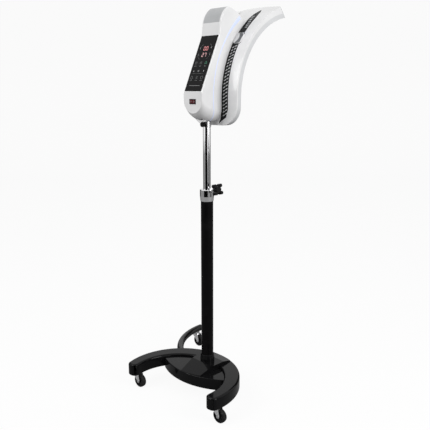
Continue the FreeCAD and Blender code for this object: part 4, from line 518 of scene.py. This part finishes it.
SENSOR = 36  # millimetres
FARTHEST_SEEN = 60
FLOOR_FRONT, FLOOR_BACK, FLOOR_HALF = -8, 6, 10
COVE_RADIUS, COVE_STEPS, WALL_TOP = 2, 12, 9
SOFT_LIGHTS = {  # place, height on the column that it aims at, width and height
    "key": ((-2.6, 0.9, 2.6), 0.9, (1.6, 2.2)),
    "fill": ((0.6, -3.0, 1.9), 0.9, (1.4, 2.2)),
    "top": ((0.4, 0.4, 3.4), 0.8, (2.4, 2.4)),
}
FLOOR_SEEN = 0.93  # what the eye sees of the floor without the light that falls on it
FLAGS = ((17, 64), (-66, 16), (-137, 34), (137, 34))  # turn from the camera and width, degrees
FLAG_TOP = 3


class StageOperator(bpy.types.Operator):
    """Floor, soft lights, surround and camera"""

    bl_idname = "processor.stage"
    bl_label = "Stage"

    def execute(self, context):
        settings = context.scene.processor_stage
        make_camera(settings)
        make_floor(settings)
        make_lights(settings)
        make_surround(settings)
        make_flags(settings)
        context.scene.view_settings.view_transform = "Standard"
        return {"FINISHED"}


def make_camera(settings):
    """Camera beside the column's level line of sight, pitched down."""
    level = ahead(settings.azimuth)
    right = level.cross(UP)
    place = right * settings.offset - level * settings.distance + UP * settings.height
    forward = level * math.cos(settings.pitch) - UP * math.sin(settings.pitch)
    data = bpy.data.cameras.new("view")
    data.sensor_width = SENSOR
    data.sensor_fit = "HORIZONTAL"
    data.lens = SENSOR * settings.focal_px / settings.image_px
    data.clip_end = FARTHEST_SEEN
    camera = add_object("view", data)
    turned = Matrix((right, right.cross(forward), -forward)).transposed()
    camera.matrix_world = Matrix.Translation(place) @ turned.to_4x4()
    bpy.context.scene.camera = camera


def floor_sheet(shape):
    """Level floor with a far wall behind it in one bent sheet."""
    profile = [(FLOOR_FRONT, 0), (FLOOR_BACK, 0)]
    for step in range(1, COVE_STEPS + 1):
        turn = math.radians(90 * step / COVE_STEPS)
        profile.append((FLOOR_BACK + COVE_RADIUS * math.sin(turn),
                        COVE_RADIUS - COVE_RADIUS * math.cos(turn)))
    profile.append((FLOOR_BACK + COVE_RADIUS, WALL_TOP))
    skin_rows(shape, [[shape.verts.new((along, side, up)) for side in (FLOOR_HALF, -FLOOR_HALF)]
                      for along, up in profile])


def floor_paint():
    """White to the eye and to mirrors, darker where it throws light back on the processor."""
    finish = Finish("floor", Roughness=0.8, Specular_IOR_Level=0.1)
    camera, glossy, through = finish.rays("Camera", "Glossy", "Transmission")
    mottle = finish.noise(3).ramp(0.3, 0.7)
    bounced = finish.blend(mottle, grey(0.15), grey(0.17))
    direct = finish.blend(mottle, grey(0.93), grey(0.95))
    finish.out(Base_Color=finish.blend(camera, bounced, direct))
    height = finish.axes()[2]
    mirrored = (glossy + through) * height.ramp(0.2, 2.0).between(0.2, 0.9)
    seen = (camera * FLOOR_SEEN + mirrored).at_most(1.0)
    white = finish.add("ShaderNodeEmission", {"Color": grey(1)})
    sockets = {0: seen, 1: finish.shader.outputs[0], 2: white.outputs[0]}
    mix = finish.add("ShaderNodeMixShader", sockets)
    finish.feed(finish.tree.nodes["Material Output"].inputs["Surface"], mix.outputs[0])
    return finish.material


def make_floor(settings):
    """Floor and wall, turned so that the wall stands square behind the processor."""
    mesh = mesh_from("floor", floor_sheet, smooth=60)
    mesh.materials.append(floor_paint())
    floor = add_object("floor", mesh)
    floor.rotation_euler.z = settings.azimuth
    floor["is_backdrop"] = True


def make_lights(settings):
    """Large soft lights, each aimed at the column."""
    for name, (place, aim_height, size) in SOFT_LIGHTS.items():
        data = bpy.data.lights.new(name, "AREA")
        data.shape = "RECTANGLE"
        data.size, data.size_y = size
        data.energy = getattr(settings, f"{name}_power")
        lamp = add_object(name, data)
        lamp.location = place
        aim = UP * aim_height - Vector(place)
        lamp.rotation_euler = aim.to_track_quat("-Z", "Y").to_euler()


def make_flags(settings):
    """Tall black cards that only mirrors see, so that the chrome has its dark lines."""
    finish = Finish("flag", Roughness=1.0, Specular_IOR_Level=0.0)
    nap = finish.noise(40, detail=2)
    cloth = finish.out(Base_Color=finish.blend(nap, grey(0.002), grey(0.004)))
    for number, (turn, width) in enumerate(FLAGS):
        out = ahead(settings.azimuth + math.pi - math.radians(turn)) * settings.flag_distance
        half = UP.cross(out) * math.tan(math.radians(width / 2))

        def card(shape):
            corners = (out - half, out + half, out + half + UP * FLAG_TOP,
                       out - half + UP * FLAG_TOP)
            shape.faces.new([shape.verts.new(corner) for corner in corners])

        mesh = mesh_from(f"flag_{number}", card)
        mesh.materials.append(cloth)
        flag = add_object(f"flag_{number}", mesh)
        for rays in ("camera", "diffuse", "shadow", "transmission"):
            setattr(flag, f"visible_{rays}", False)
        flag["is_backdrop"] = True


def make_surround(settings):
    """Even white surround, weaker as a light than it looks."""
    world = bpy.data.worlds.new("surround")
    bpy.context.scene.world = world
    world.use_nodes = True
    graph = Graph(world.node_tree)
    background = graph.tree.nodes["Background"]
    graph.feed(background.inputs["Strength"], graph.rays("Diffuse")[0].between(1.0, settings.sky))
    graph.feed(background.inputs["Color"], grey(1))


# ------------------------------------------------------------------ finishes of the CAD nodes

CORNERS = ("left", "right", "back", "leg")


class FinishOperator(bpy.types.Operator):
    """Gives every CAD node its procedural finish"""

    bl_idname = "processor.finishes"
    bl_label = "Finishes"

    def execute(self, context):
        for nodes, material in finishes(context.scene.processor_looks):
            for node in nodes:
                dress(node, material)
        return {"FINISHED"}


def each(name):
    return [f"caster_{name}_{corner}" for corner in CORNERS]


def finishes(looks):
    """Node names with the material that they share."""
    return [
        (["housing_front"], housing_plastic("housing", looks)),
        # hood_back holds the smooth bridges across the vents; the white on their inner halves is a
        # painted highlight on the vent strips
        (["housing_rear", "hood_back"], moulded("white_moulding", looks.white, 0.18, coat=0.25)),
        # the rim's grey is painted shade on the hood's edge face
        (["hood_rim"], moulded("rim", looks.rim_painted_shade, 0.38)),
        (["vent_strip_left", "vent_strip_right"],
         moulded("vents", looks.vent_grey, 0.4, dust=0.03, grain=500, relief=5e-5, sheen=0.08)),
        (["control_panel"], moulded("panel", looks.gloss_black, 0.07, dust=0.02, sheen=0.10)),
        (["base_shell", "hub_cover", "pole_boot"],
         moulded("base_gloss", looks.gloss_black, 0.11, dust=0.03, sheen=0.13)),
        (["rear_leg"], moulded("leg_coat", looks.pole_black, 0.22, dust=0.05, sheen=0.3)),
        (["base_pan", "pole_foot"], powder_coated("pan_coat", grey(0.03), 0.5)),
        (["ballast"], glazed("cast_weight", grey(0.12), 0.6, grain=300)),
        (["lower_pole"], powder_coated("pole_coat", looks.pole_black, 0.27)),
        (["column", "clamp_collar", "lamp_guard"],
         plated("chrome", (0.80, 0.80, 0.81), 0.05, stretch=(1, 1, 0.02))),
        (each("fork"), plated("pressed_chrome", (0.92, 0.92, 0.93), 0.30)),
        (["base_screws", "caster_sockets", "knob_stud", "neck_socket", "tilt_bolt",
          "tilt_bracket", *each("axle")],
         plated("bright_steel", (0.66, 0.66, 0.67), 0.16, stretch=(1, 1, 0.05), smear=0.2)),
        (["star_knob", "thumb_screw", "leg_plug"],
         moulded("knob", looks.satin_black, 0.34, dust=0.01, grain=1100, relief=6e-5, sheen=0.1)),
        (["guide_bush", "column_shoe", "tilt_washers"],
         moulded("nylon", (0.72, 0.72, 0.68), 0.45)),
        (each("tyre"), rubbery("tyre", grey(0.016))),
        (each("core"), moulded("wheel_core", (0.010, 0.010, 0.011), 0.4, dust=0.06,
                               relief=6e-5, sheen=0.2)),
        (["reflector"], rolled_sheet("reflector")),
        (["lamp_tubes"], quartz("quartz")),
        (["lamp_holders"], glazed("ceramic", (0.80, 0.78, 0.72), 0.5)),
        (["switch_frame", "mains_inlet"],
         moulded("switch_black", looks.satin_black, 0.25, sheen=0.06)),
        (["switch_rocker"], moulded("rocker", looks.rocker_red, 0.16, sheen=0.2)),
        (["control_board"], circuit("board")),
        (["led_displays"], moulded("display", (0.05, 0.006, 0.006), 0.2)),
        (["power_module", "fan_frame", "fan_rotor"],
         moulded("module", (0.03, 0.03, 0.032), 0.42, dust=0.1, grain=700, relief=8e-5)),
    ]


# ------------------------------------------------------------------ painted highlight along the seam

SIDE_FEELER = 0.3  # rays start this far from the middle plane
SEAM_TOP, SEAM_TURN = 1.532, 1.232  # heights where the highlight strip starts and where it bends under
SEAM_STEPS, CHIN_STEPS, CHIN_TRIES = 60, 24, 4
CHIN_TURN = math.radians(3.4)  # for each step
FLARE_START, FLARE_HEIGHT = 1.36, 0.16
HIGHLIGHT_STRIP_PROFILE = ((-0.5, -0.0002), (-0.3, 0.0005), (0, 0.0008), (0.3, 0.0005), (0.5, -0.0002))


class SeamHighlightOperator(bpy.types.Operator):
    """Thin strip along the joint of the housing, on both sides, that gives off bluish light as a
    painted highlight
    """

    bl_idname = "processor.seam"
    bl_label = "Seam trim"

    def execute(self, context):
        plan = context.scene.processor_plan
        skin = skin_of("housing_rear", "housing_front")
        # painted highlight: the strip gives off light to stand for the bright edge of the joint
        painted_seam_highlight = lit_mark_and_painted_highlight("seam_trim", context.scene.processor_looks.seam_highlight_blue, strength=0.22,
                       off=(0.56, 0.62, 0.86))
        for side, label in ((1, "left"), (-1, "right")):
            stations = seam_stations(plan, skin, side)
            mesh = mesh_from(f"seam_{label}", lambda shape: ribbon(shape, stations), smooth=60)
            keep(f"seam_{label}", mesh, "head", painted_seam_highlight)
        return {"FINISHED"}


def ribbon(shape, stations):
    """Highlight strip over stations of (point, across, outward, width)."""
    skin_rows(shape, [[shape.verts.new(point + across * (share * width) + outward * lift)
                       for share, lift in HIGHLIGHT_STRIP_PROFILE]
                      for point, across, outward, width in stations])


def seam_x(plan, z):
    """Where the joint lies at a height."""
    return plan.seam_x + plan.seam_shift - math.sqrt(plan.seam_radius**2 - (z - plan.seam_z) ** 2)


def seam_stations(plan, skin, side):
    """Places of the highlight strip on the housing's skin, from its top down and round the chin."""
    stations = []
    for step in range(SEAM_STEPS + 1):
        z = SEAM_TOP + (SEAM_TURN - SEAM_TOP) * step / SEAM_STEPS
        start = Vector((seam_x(plan, z), side * SIDE_FEELER, z))
        stations.append(on_skin(plan, skin, start, ALONG_Y * -side))
    for step in range(1, CHIN_STEPS + 1):
        turn = CHIN_TURN * step
        aim = UP * math.sin(turn) - ALONG_Y * (side * math.cos(turn))
        z = SEAM_TURN
        for _ in range(CHIN_TRIES):
            start = Vector((seam_x(plan, z), 0, SEAM_TURN)) - aim * SIDE_FEELER
            hit = skin.ray_cast(start, aim)[0]
            if hit:
                z = hit.z
        stations.append(on_skin(plan, skin, start, aim))
    return [station for station in stations if station]


def on_skin(plan, skin, start, aim):
    """One station: where the ray meets the skin, with its directions and width."""
    point, normal = skin.ray_cast(start, aim)[:2]
    if point is None:
        return None
    radial = Vector((point.x - plan.seam_x, 0, point.z - plan.seam_z)).normalized()
    across = (radial - normal * radial.dot(normal)).normalized()
    rise = min(1, max(0, (point.z - FLARE_START) / FLARE_HEIGHT))
    return point, across, normal, plan.seam_narrow + plan.seam_flare * rise**2


# ------------------------------------------------------------------ marks of the control panel

INK_FOOT, INK_TOP = -0.0001, 0.00018  # from the panel's face
UPPER_ROW, LOWER_ROW = 0.762, 0.648  # shares of the panel's length
FIGURE_WIDTH, FIGURE_HEIGHT, FIGURE_SHIFT = 0.0100, 0.0158, 0.0066
SEGMENT_WIDTH, SEGMENT_GAP = 0.18, 0.35  # shares of the figure's width and of the segment's
RING_STEP, LEAST_STEPS = 15, 6  # the first in degrees
SEGMENTS = {"0": "abcdef", "1": "bc", "2": "abged", "3": "abgcd", "4": "fgbc", "5": "afgcd",
            "6": "afgedc", "7": "abc", "8": "abcdefg", "9": "abcdfg"}
SEGMENT_PLACES = {"a": (0, 1, 0), "d": (0, -1, 0), "g": (0, 0, 0), "b": (1, 0.5, 90),
                  "c": (1, -0.5, 90), "e": (-1, -0.5, 90), "f": (-1, 0.5, 90)}
POINTERS = ((0.16, UPPER_ROW, 90), (0.81, 0.770, 90), (0.16, LOWER_ROW, -90), (0.82, 0.655, -90))
KEY_ROW, ARROW_ROW, TIMER_ROW = 0.506, 0.362, 0.245
KEY_COLUMNS = (0.18, 0.47, 0.765)  # shares of the panel's width
ARROW_COLUMNS = (0.19, 0.475, 0.78)
TIMER_COLUMNS = (0.18, 0.49, 0.78)
KEY_DASHES = ((0.452, 0.0125, 0.0012), (0.441, 0.0085, 0.0008))  # row, length, thickness
TIMER_DASHES = ((0.193, 0.0135, 0.0012),)
PANEL_RULES = ((0.45, 0.318, 0.062, 0.0007), (0.5, 0.104, 0.057, 0.0022))


def around(centre, radius, degrees):
    """The point of a circle at an angle."""
    turn = math.radians(degrees)
    return centre[0] + radius * math.cos(turn), centre[1] + radius * math.sin(turn)


class PanelArt:
    """Flat raised marks on the control panel, in metres from the middle of its lower edge."""

    def __init__(self, plan):
        self.length = math.hypot(plan.panel_lean, plan.panel_rise)
        self.width = plan.panel_width
        self.along = Vector((plan.panel_lean, 0, plan.panel_rise)) / self.length
        self.across = -ALONG_Y
        self.out = self.across.cross(self.along)
        self.base = Vector((plan.panel_foot_x, 0, plan.panel_foot_z)) + self.out * plan.panel_proud
        self.groups = {}

    def at(self, share_across, share_up):
        return (share_across - 0.5) * self.width, share_up * self.length

    def add(self, group, outline):
        self.groups.setdefault(group, []).append(outline)

    def bar(self, group, centre, length, thick, degrees=0):
        half_length = Vector(around((0, 0), length / 2, degrees))
        half_thick = Vector(around((0, 0), thick / 2, degrees + 90))
        self.add(group, [Vector(centre) + half_length * x + half_thick * y for x, y in SQUARE])

    def ring(self, group, centre, radius, thick, start=0, end=360):
        steps = max(LEAST_STEPS, int((end - start) / RING_STEP))
        corners = []
        for step in range(steps + 1):
            degrees = start + (end - start) * step / steps
            corners.append([around(centre, radius + thick / 2 * side, degrees)
                            for side in (-1, 1)])
        for one, two in zip(corners, corners[1:]):
            self.add(group, [one[0], one[1], two[1], two[0]])

    def wedge(self, group, centre, size, degrees):
        self.add(group, [around(centre, size, degrees + third) for third in (0, 120, 240)])

    def digit(self, group, number, centre):
        """Seven-segment figure, with segments a to g clockwise from the top and g in the middle."""
        wide, high = FIGURE_WIDTH, FIGURE_HEIGHT
        thick = wide * SEGMENT_WIDTH
        for name in SEGMENTS[number]:
            x, y, turn = SEGMENT_PLACES[name]
            middle = (centre[0] + x * (wide - thick) / 2, centre[1] + y * (high - thick) / 2)
            span = (high - thick) / 2 if turn else wide - thick
            self.bar(group, middle, span - thick * SEGMENT_GAP, thick, turn)

    def mesh(self, group):
        def build(shape):
            for outline in self.groups[group]:
                rows = [[shape.verts.new(self.base + self.across * x + self.along * y
                                         + self.out * lift) for x, y in outline]
                        for lift in (INK_FOOT, INK_TOP)]
                shape.faces.new(rows[1])
                skin_rows(shape, rows, closed=True)

        return mesh_from(group, build)


def draw_displays(art, looks):
    """Two lit figures in two rows, with marks beside them and a broken ring round them."""
    for figures, up, group in ((looks.upper_figure, UPPER_ROW, "digits_upper"),
                               (looks.lower_figure, LOWER_ROW, "digits_lower")):
        x, y = art.at(0.5, up)
        for number, shift in zip(f"{figures:02d}", (-FIGURE_SHIFT, FIGURE_SHIFT)):
            art.digit(group, number, (x + shift, y))
    for share, up, pointing in POINTERS:
        art.wedge("print_bright", art.at(share, up), size=0.0028, degrees=pointing)
        art.bar("print_bright", art.at(share, up + 0.02), length=0.005, thick=0.0008)
    for start in range(28, 360, 90):
        art.ring("print_dim", art.at(0.5, (UPPER_ROW + LOWER_ROW) / 2), radius=0.0355,
                 thick=0.0006, start=start, end=start + 34)


def sun_sign(art, middle):
    art.ring("print_dim", middle, radius=0.0042, thick=0.0009)
    for degrees in range(0, 360, 45):
        spot = around(middle, 0.0066, degrees)
        art.bar("print_dim", spot, length=0.0022, thick=0.0008, degrees=degrees)


def waves_sign(art, middle):
    for shift in (-0.004, 0, 0.004):
        for drop, lean in ((-0.0028, 24), (0.0028, -24)):
            spot = (middle[0] + shift, middle[1] + drop)
            art.bar("print_dim", spot, length=0.0062, thick=0.0009, degrees=90 + lean)


def fan_sign(art, middle):
    for turned in (0, 120, 240):
        spot = around(middle, 0.0035, turned + 90)
        art.ring("lit_green", spot, radius=0.0024, thick=0.0012, start=turned, end=turned + 240)


def less_sign(art, middle):
    art.wedge("print_bright", middle, size=0.0038, degrees=180)


def pause_sign(art, middle):
    for shift in (-0.002, 0.002):
        spot = (middle[0] + shift, middle[1])
        art.bar("print_bright", spot, length=0.0075, thick=0.0014, degrees=90)


def more_sign(art, middle):
    art.wedge("print_bright", middle, size=0.0038, degrees=0)


def clock_sign(art, middle):
    art.ring("print_dim", middle, radius=0.0062, thick=0.0011)
    x, y = middle
    art.bar("print_dim", (x, y + 0.0018), length=0.0042, thick=0.001, degrees=90)
    art.bar("print_dim", (x + 0.0014, y), length=0.0036, thick=0.001)


def list_sign(art, middle):
    for lift in (-0.0048, 0, 0.0048):
        art.bar("print_dim", (middle[0], middle[1] + lift), length=0.0105, thick=0.0011)


def standby_sign(art, middle):
    x, y = middle
    art.ring("print_dim", middle, radius=0.0062, thick=0.0011, start=125, end=415)
    art.bar("print_dim", (x, y + 0.005), length=0.0062, thick=0.0012, degrees=90)


def draw_row(art, signs, columns, row, dashes):
    """A row of signs, each with its dashes below it."""
    for sign, share in zip(signs, columns):
        sign(art, art.at(share, row))
        for up, length, thick in dashes:
            art.bar("print_dim", art.at(share, up), length, thick)


def draw_keys(art):
    """Three rows of touch keys, with a rule between them and a broad one at the foot."""
    draw_row(art, (sun_sign, waves_sign, fan_sign), KEY_COLUMNS, KEY_ROW, KEY_DASHES)
    draw_row(art, (less_sign, pause_sign, more_sign), ARROW_COLUMNS, ARROW_ROW, ())
    draw_row(art, (clock_sign, list_sign, standby_sign), TIMER_COLUMNS, TIMER_ROW, TIMER_DASHES)
    for share, up, length, thick in PANEL_RULES:
        art.bar("print_dim", art.at(share, up), length, thick)


class PanelOperator(bpy.types.Operator):
    """Lit figures and printed marks of the control panel"""

    bl_idname = "processor.panel_art"
    bl_label = "Panel marks"

    def execute(self, context):
        looks = context.scene.processor_looks
        art = PanelArt(context.scene.processor_plan)
        draw_displays(art, looks)
        draw_keys(art)
        inks = {
            "digits_upper": lit_mark_and_painted_highlight("digit_red", looks.digit_red, strength=0.8,
                                    off=(0.3, 0.05, 0.06)),
            "digits_lower": lit_mark_and_painted_highlight("digit_pale", looks.digit_pale, strength=0.7,
                                    off=(0.3, 0.1, 0.1)),
            "lit_green": lit_mark_and_painted_highlight("led_green", looks.led_green, strength=0.35,
                                 off=(0.02, 0.1, 0.06)),
            "print_bright": moulded("print_bright", (0.38, 0.38, 0.39), 0.4),
            "print_dim": moulded("print_dim", (0.16, 0.16, 0.165), 0.4),
        }
        for group, ink in inks.items():
            keep(group, art.mesh(group), "head", ink)
        return {"FINISHED"}


# ------------------------------------------------------------------ vents and lamps

FEELER = 0.03  # rays start this far outside the hood's back and end as far inside
BAR_TOP = 0.72  # the top of a small bar as a share of its foot
SLAT_HALF_WIDTH, SLAT_HEIGHT = 0.0017, 0.0007
SLAT_COLUMNS = (0.014, 0.026)  # middles of the slats past the vent's inner edge
SLATS, SLATS_START, SLAT_HALF = 21, -0.068, 0.0052  # the start along the back
SLAT_FEELERS = (-0.4, -0.2, 0, 0.2, 0.4)  # shares of the pitch
UPPER_SLATS, UPPER_START, UPPER_HALF = 7, 0.80, 0.0062  # the start in radians along the back
UPPER_PITCH, UPPER_INSET, UPPER_TAPER = 0.9, 0.023, 0.0020  # the first a share of the pitch
BRIDGE_START, BRIDGE_LENGTH = 0.2115, 0.055  # along the back
BRIDGE_STEPS, BRIDGE_CELLS = 16, 6  # up the back and across it
BRIDGE_INNER, BRIDGE_BOW, BRIDGE_OUTER = 0.010, 0.014, 0.0415  # past the vent's inner edge
INSERT_LIFT, INSERT_SUNK = 0.0004, 0.001  # the last where a ray misses the bridge
LAMP_ANGLES = (8, 28, 48, 68)  # degrees over the front arc's centre
FILAMENT_RADIUS, FILAMENT_PITCH, FILAMENT_WIRE = 0.0024, 0.0052, 0.00045
WIRE_STEPS, WIRE_SIDES = 10, 5  # the steps in one turn of the winding


def small_bar(shape, centre, along, side, out, sizes):
    """Small bevel-topped bar: half length, half width and height."""
    half_length, half_width, height = sizes
    rows = [[shape.verts.new(centre + along * (x * half_length * shrink)
                             + side * (y * half_width * shrink) + out * lift)
             for x, y in SQUARE]
            for lift, shrink in ((-height, 1), (0, 1), (height, BAR_TOP))]
    shape.faces.new(rows[-1])
    skin_rows(shape, rows, closed=True)


def on_arc(turn):
    """Outward direction of the hood's arcs, which start level and rise over the back."""
    return Vector((-math.cos(turn), 0, math.sin(turn)))


def on_back(plan, y, distance):
    """Point of the hood's back at a distance along it, with its outward and upward directions."""
    turn = max(0, distance) / plan.back_radius
    outward = on_arc(turn)
    upward = Vector((math.sin(turn), 0, math.cos(turn)))
    point = Vector((plan.back_x, y, plan.back_z)) + outward * plan.back_radius
    return point + upward * min(0, distance), outward, upward


def vent_stations(plan):
    """Every slat: (place across the hood, distance along its back, half length, slant)."""
    stations = []
    for column, inset in enumerate(SLAT_COLUMNS):
        for step in range(SLATS):
            distance = SLATS_START + (step + column / 2) * plan.slat_pitch
            stations.append((plan.vent_inner + inset, distance, SLAT_HALF, plan.slat_slant))
    for step in range(UPPER_SLATS):
        distance = plan.back_radius * UPPER_START + step * plan.slat_pitch * UPPER_PITCH
        y = plan.vent_inner + UPPER_INSET - step * UPPER_TAPER
        stations.append((y, distance, UPPER_HALF, 0.0))
    return stations


def add_slat(shape, plan, skin, side, station):
    """Seats one slat on the strip, at the highest place that the rays find round its middle."""
    y, distance, half, slant = station
    middle, outward, upward = on_back(plan, side * y, distance)
    depths = []
    for share in SLAT_FEELERS:
        start = middle + outward * FEELER + upward * (share * plan.slat_pitch)
        depths.append(skin.ray_cast(start, -outward, 2 * FEELER)[3])
    seat = middle + outward * (FEELER - min(depth for depth in depths if depth is not None))
    along = ALONG_Y * math.cos(slant) + upward * (side * math.sin(slant))
    small_bar(shape, seat, along, outward.cross(along), outward,
              (half, SLAT_HALF_WIDTH, SLAT_HEIGHT))


class VentOperator(bpy.types.Operator):
    """Light slats that lie across the vent strips"""

    bl_idname = "processor.slats"
    bl_label = "Vent slats"

    def execute(self, context):
        plan = context.scene.processor_plan
        slat = moulded("vent_slat", context.scene.processor_looks.slat_grey, 0.3)
        for side, label in ((1, "left"), (-1, "right")):
            skin = skin_of(f"vent_strip_{label}")

            def build(shape):
                for station in vent_stations(plan):
                    add_slat(shape, plan, skin, side, station)

            keep(f"vent_slats_{label}", mesh_from(f"vent_slats_{label}", build), "head", slat)
        return {"FINISHED"}


class BridgeOperator(bpy.types.Operator):
    """Grey insert on the outer half of the bridge across each vent; the inner half keeps the hood's
    white, a painted highlight on the vent strip
    """

    bl_idname = "processor.bridge_insert"
    bl_label = "Bridge inserts"

    def execute(self, context):
        plan = context.scene.processor_plan
        satin = moulded("bridge_insert", context.scene.processor_looks.insert_grey, 0.3)
        skin = skin_of("hood_back")
        for side, label in ((1, "left"), (-1, "right")):

            def build(shape):
                skin_rows(shape, [[shape.verts.new(point) for point in row]
                                  for row in bridge_rows(plan, skin, side)])

            mesh = mesh_from(f"bridge_insert_{label}", build, smooth=50)
            keep(f"bridge_insert_{label}", mesh, "head", satin)
        return {"FINISHED"}


def bridge_rows(plan, skin, side):
    """Points of the insert on the bridge, row by row up the back, with its edges let in."""
    for step in range(BRIDGE_STEPS + 1):
        share = step / BRIDGE_STEPS
        inner = plan.vent_inner + BRIDGE_INNER + BRIDGE_BOW * math.sin(math.pi * share)
        outer = plan.vent_inner + BRIDGE_OUTER
        row = []
        for cell in range(BRIDGE_CELLS + 1):
            y = inner + (outer - inner) * cell / BRIDGE_CELLS
            place, outward, _ = on_back(plan, side * y, BRIDGE_START + BRIDGE_LENGTH * share)
            point = skin.ray_cast(place + outward * FEELER, -outward, 2 * FEELER)[0]
            if point is None:
                point = place - outward * INSERT_SUNK
            edge = cell in (0, BRIDGE_CELLS) or step in (0, BRIDGE_STEPS)
            row.append(point + outward * (-INSERT_LIFT if edge else INSERT_LIFT))
        yield row


class LampOperator(bpy.types.Operator):
    """Wound filament in each quartz tube"""

    bl_idname = "processor.filaments"
    bl_label = "Filaments"

    def execute(self, context):
        plan = context.scene.processor_plan
        wire = plated("filament", (0.62, 0.50, 0.40), 0.35, smear=0.2)

        def build(shape):
            for degrees in LAMP_ANGLES:
                axis = Vector((plan.front_x, 0, plan.front_z))
                axis += on_arc(math.radians(degrees)) * plan.lamp_radius
                wind(shape, axis, plan.lamp_half)

        mesh = mesh_from("filaments", build, smooth=80)
        keep("filaments", mesh, "head", wire)
        return {"FINISHED"}


def wind(shape, axis, half):
    """Round wire wound about a line across the hood."""
    turns = 2 * half / FILAMENT_PITCH
    steps = int(turns * WIRE_STEPS)
    rows = []
    for step in range(steps + 1):
        turn = math.tau * turns * step / steps
        out = Vector((math.cos(turn), 0, math.sin(turn)))
        centre = axis + out * FILAMENT_RADIUS + ALONG_Y * (2 * half * step / steps - half)
        rows.append([shape.verts.new(centre + way * FILAMENT_WIRE)
                     for way in spokes(out, ALONG_Y, WIRE_SIDES)])
    skin_rows(shape, rows, closed=True)


# ------------------------------------------------------------------ switch, screw and wheels

# bars and ribs: half length, half width and height
MARK_SHIFT, MARK_HEIGHT = 0.0068, 0.00015
MARK_BAR = (0.0030, 0.0006, MARK_HEIGHT)
RING_BARS, RING_RADIUS, RING_BAR = 12, 0.0024, (0.0007, 0.00045, MARK_HEIGHT)
GRIP_RIBS, GRIP_MIDDLE, GRIP_RIB = 20, 0.0052, (0.0040, 0.0008, 0.0004)
HUB_RIBS, HUB_RADIUS, HUB_FACE, HUB_RIB = 8, 0.0135, 0.0062, (0.0055, 0.0009, 0.0011)


class SwitchOperator(bpy.types.Operator):
    """Bar and ring moulded on the two halves of the rocker"""

    bl_idname = "processor.rocker_marks"
    bl_label = "Rocker marks"

    def execute(self, context):
        skin = skin_of("switch_rocker")
        low, high = box_of("switch_rocker")
        middle = (low + high) / 2

        def touch(shift):
            start = Vector((low.x - FEELER, middle.y + shift, middle.z))
            point, normal = skin.ray_cast(start, ALONG_X)[:2]
            return point, normal, UP.cross(normal).normalized()

        def build(shape):
            point, normal, across = touch(MARK_SHIFT)
            small_bar(shape, point, UP, across, normal, MARK_BAR)
            point, normal, across = touch(-MARK_SHIFT)
            for out in spokes(across, UP, RING_BARS):
                small_bar(shape, point + out * RING_RADIUS, normal.cross(out), out, normal,
                          RING_BAR)

        keep("rocker_marks", mesh_from("rocker_marks", build), "power_rocker",
             moulded("mark_pale", (0.50, 0.42, 0.42), 0.4))
        return {"FINISHED"}


class GripOperator(bpy.types.Operator):
    """Ribs round the thumb screw's head"""

    bl_idname = "processor.grip"
    bl_label = "Grip ribs"

    def execute(self, context):
        low, high = box_of("thumb_screw")
        radius = (high.y - low.y) / 2
        centre = (low + high) / 2
        centre.x = low.x + GRIP_MIDDLE
        black = moulded("grip", (0.006, 0.006, 0.0065), 0.35, sheen=0.15)

        def build(shape):
            for out in spokes(ALONG_Y, UP, GRIP_RIBS):
                small_bar(shape, centre + out * radius, ALONG_X, ALONG_X.cross(out), out, GRIP_RIB)

        keep("thumb_ribs", mesh_from("thumb_ribs", build), "thumb_screw", black)
        return {"FINISHED"}


class WheelOperator(bpy.types.Operator):
    """Ribs on both faces of every caster wheel's core"""

    bl_idname = "processor.hub_ribs"
    bl_label = "Hub ribs"

    def execute(self, context):
        level = ahead(context.scene.processor_plan.caster_heading)
        axle = UP.cross(level)
        dark = moulded("hub_cover", (0.020, 0.020, 0.021), 0.35, dust=0.1)
        for corner in CORNERS:
            low, high = box_of(f"caster_core_{corner}")
            centre = (low + high) / 2

            def build(shape):
                for face in (-axle, axle):
                    for out in spokes(level, UP, HUB_RIBS):
                        place = centre + out * HUB_RADIUS + face * HUB_FACE
                        small_bar(shape, place, out, axle.cross(out), face, HUB_RIB)

            keep(f"hub_ribs_{corner}", mesh_from(f"hub_ribs_{corner}", build),
                 f"wheel_{corner}", dark)
        return {"FINISHED"}


# ------------------------------------------------------------------ panel and run


class ProcessorPanel(bpy.types.Panel):
    """Sizes, colours and the pieces of the processor"""

    bl_label = "Processor"
    bl_idname = "VIEW3D_PT_processor"
    bl_space_type = "VIEW_3D"
    bl_region_type = "UI"
    bl_category = "Processor"

    def draw(self, context):
        column = self.layout.column()
        for group in (getattr(context.scene, name) for name in GROUPS):
            for name in group.bl_rna.properties.keys():
                if name not in ("rna_type", "name"):
                    column.prop(group, name)
        for operator in OPERATORS:
            column.operator(operator.bl_idname)


OPERATORS = (FinishOperator, SeamHighlightOperator, PanelOperator, VentOperator, BridgeOperator,
             LampOperator, SwitchOperator, GripOperator, WheelOperator, StageOperator)
GROUPS = {"processor_looks": ProcessorLooks, "processor_plan": ProcessorPlan,
          "processor_stage": StageSettings}


def register():
    for entry in (*GROUPS.values(), *OPERATORS, ProcessorPanel):
        bpy.utils.register_class(entry)
    for name, group in GROUPS.items():
        setattr(bpy.types.Scene, name, PointerProperty(type=group))


def unregister():
    for name in GROUPS:
        delattr(bpy.types.Scene, name)
    for entry in reversed((*GROUPS.values(), *OPERATORS, ProcessorPanel)):
        bpy.utils.unregister_class(entry)


def run(operator):
    """Calls one operator by its id and stops on failure."""
    group, name = operator.bl_idname.split(".")
    if getattr(getattr(bpy.ops, group), name)() != {"FINISHED"}:
        raise RuntimeError(f"{operator.bl_idname} did not finish")


def main():
    register()
    for operator in OPERATORS:
        run(operator)
    boxes = {"cad": CAD_BOX, "visual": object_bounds()}
    {name: [list(corner) for corner in box] for name, box in boxes.items()}


if __name__ == "__main__":
    main()
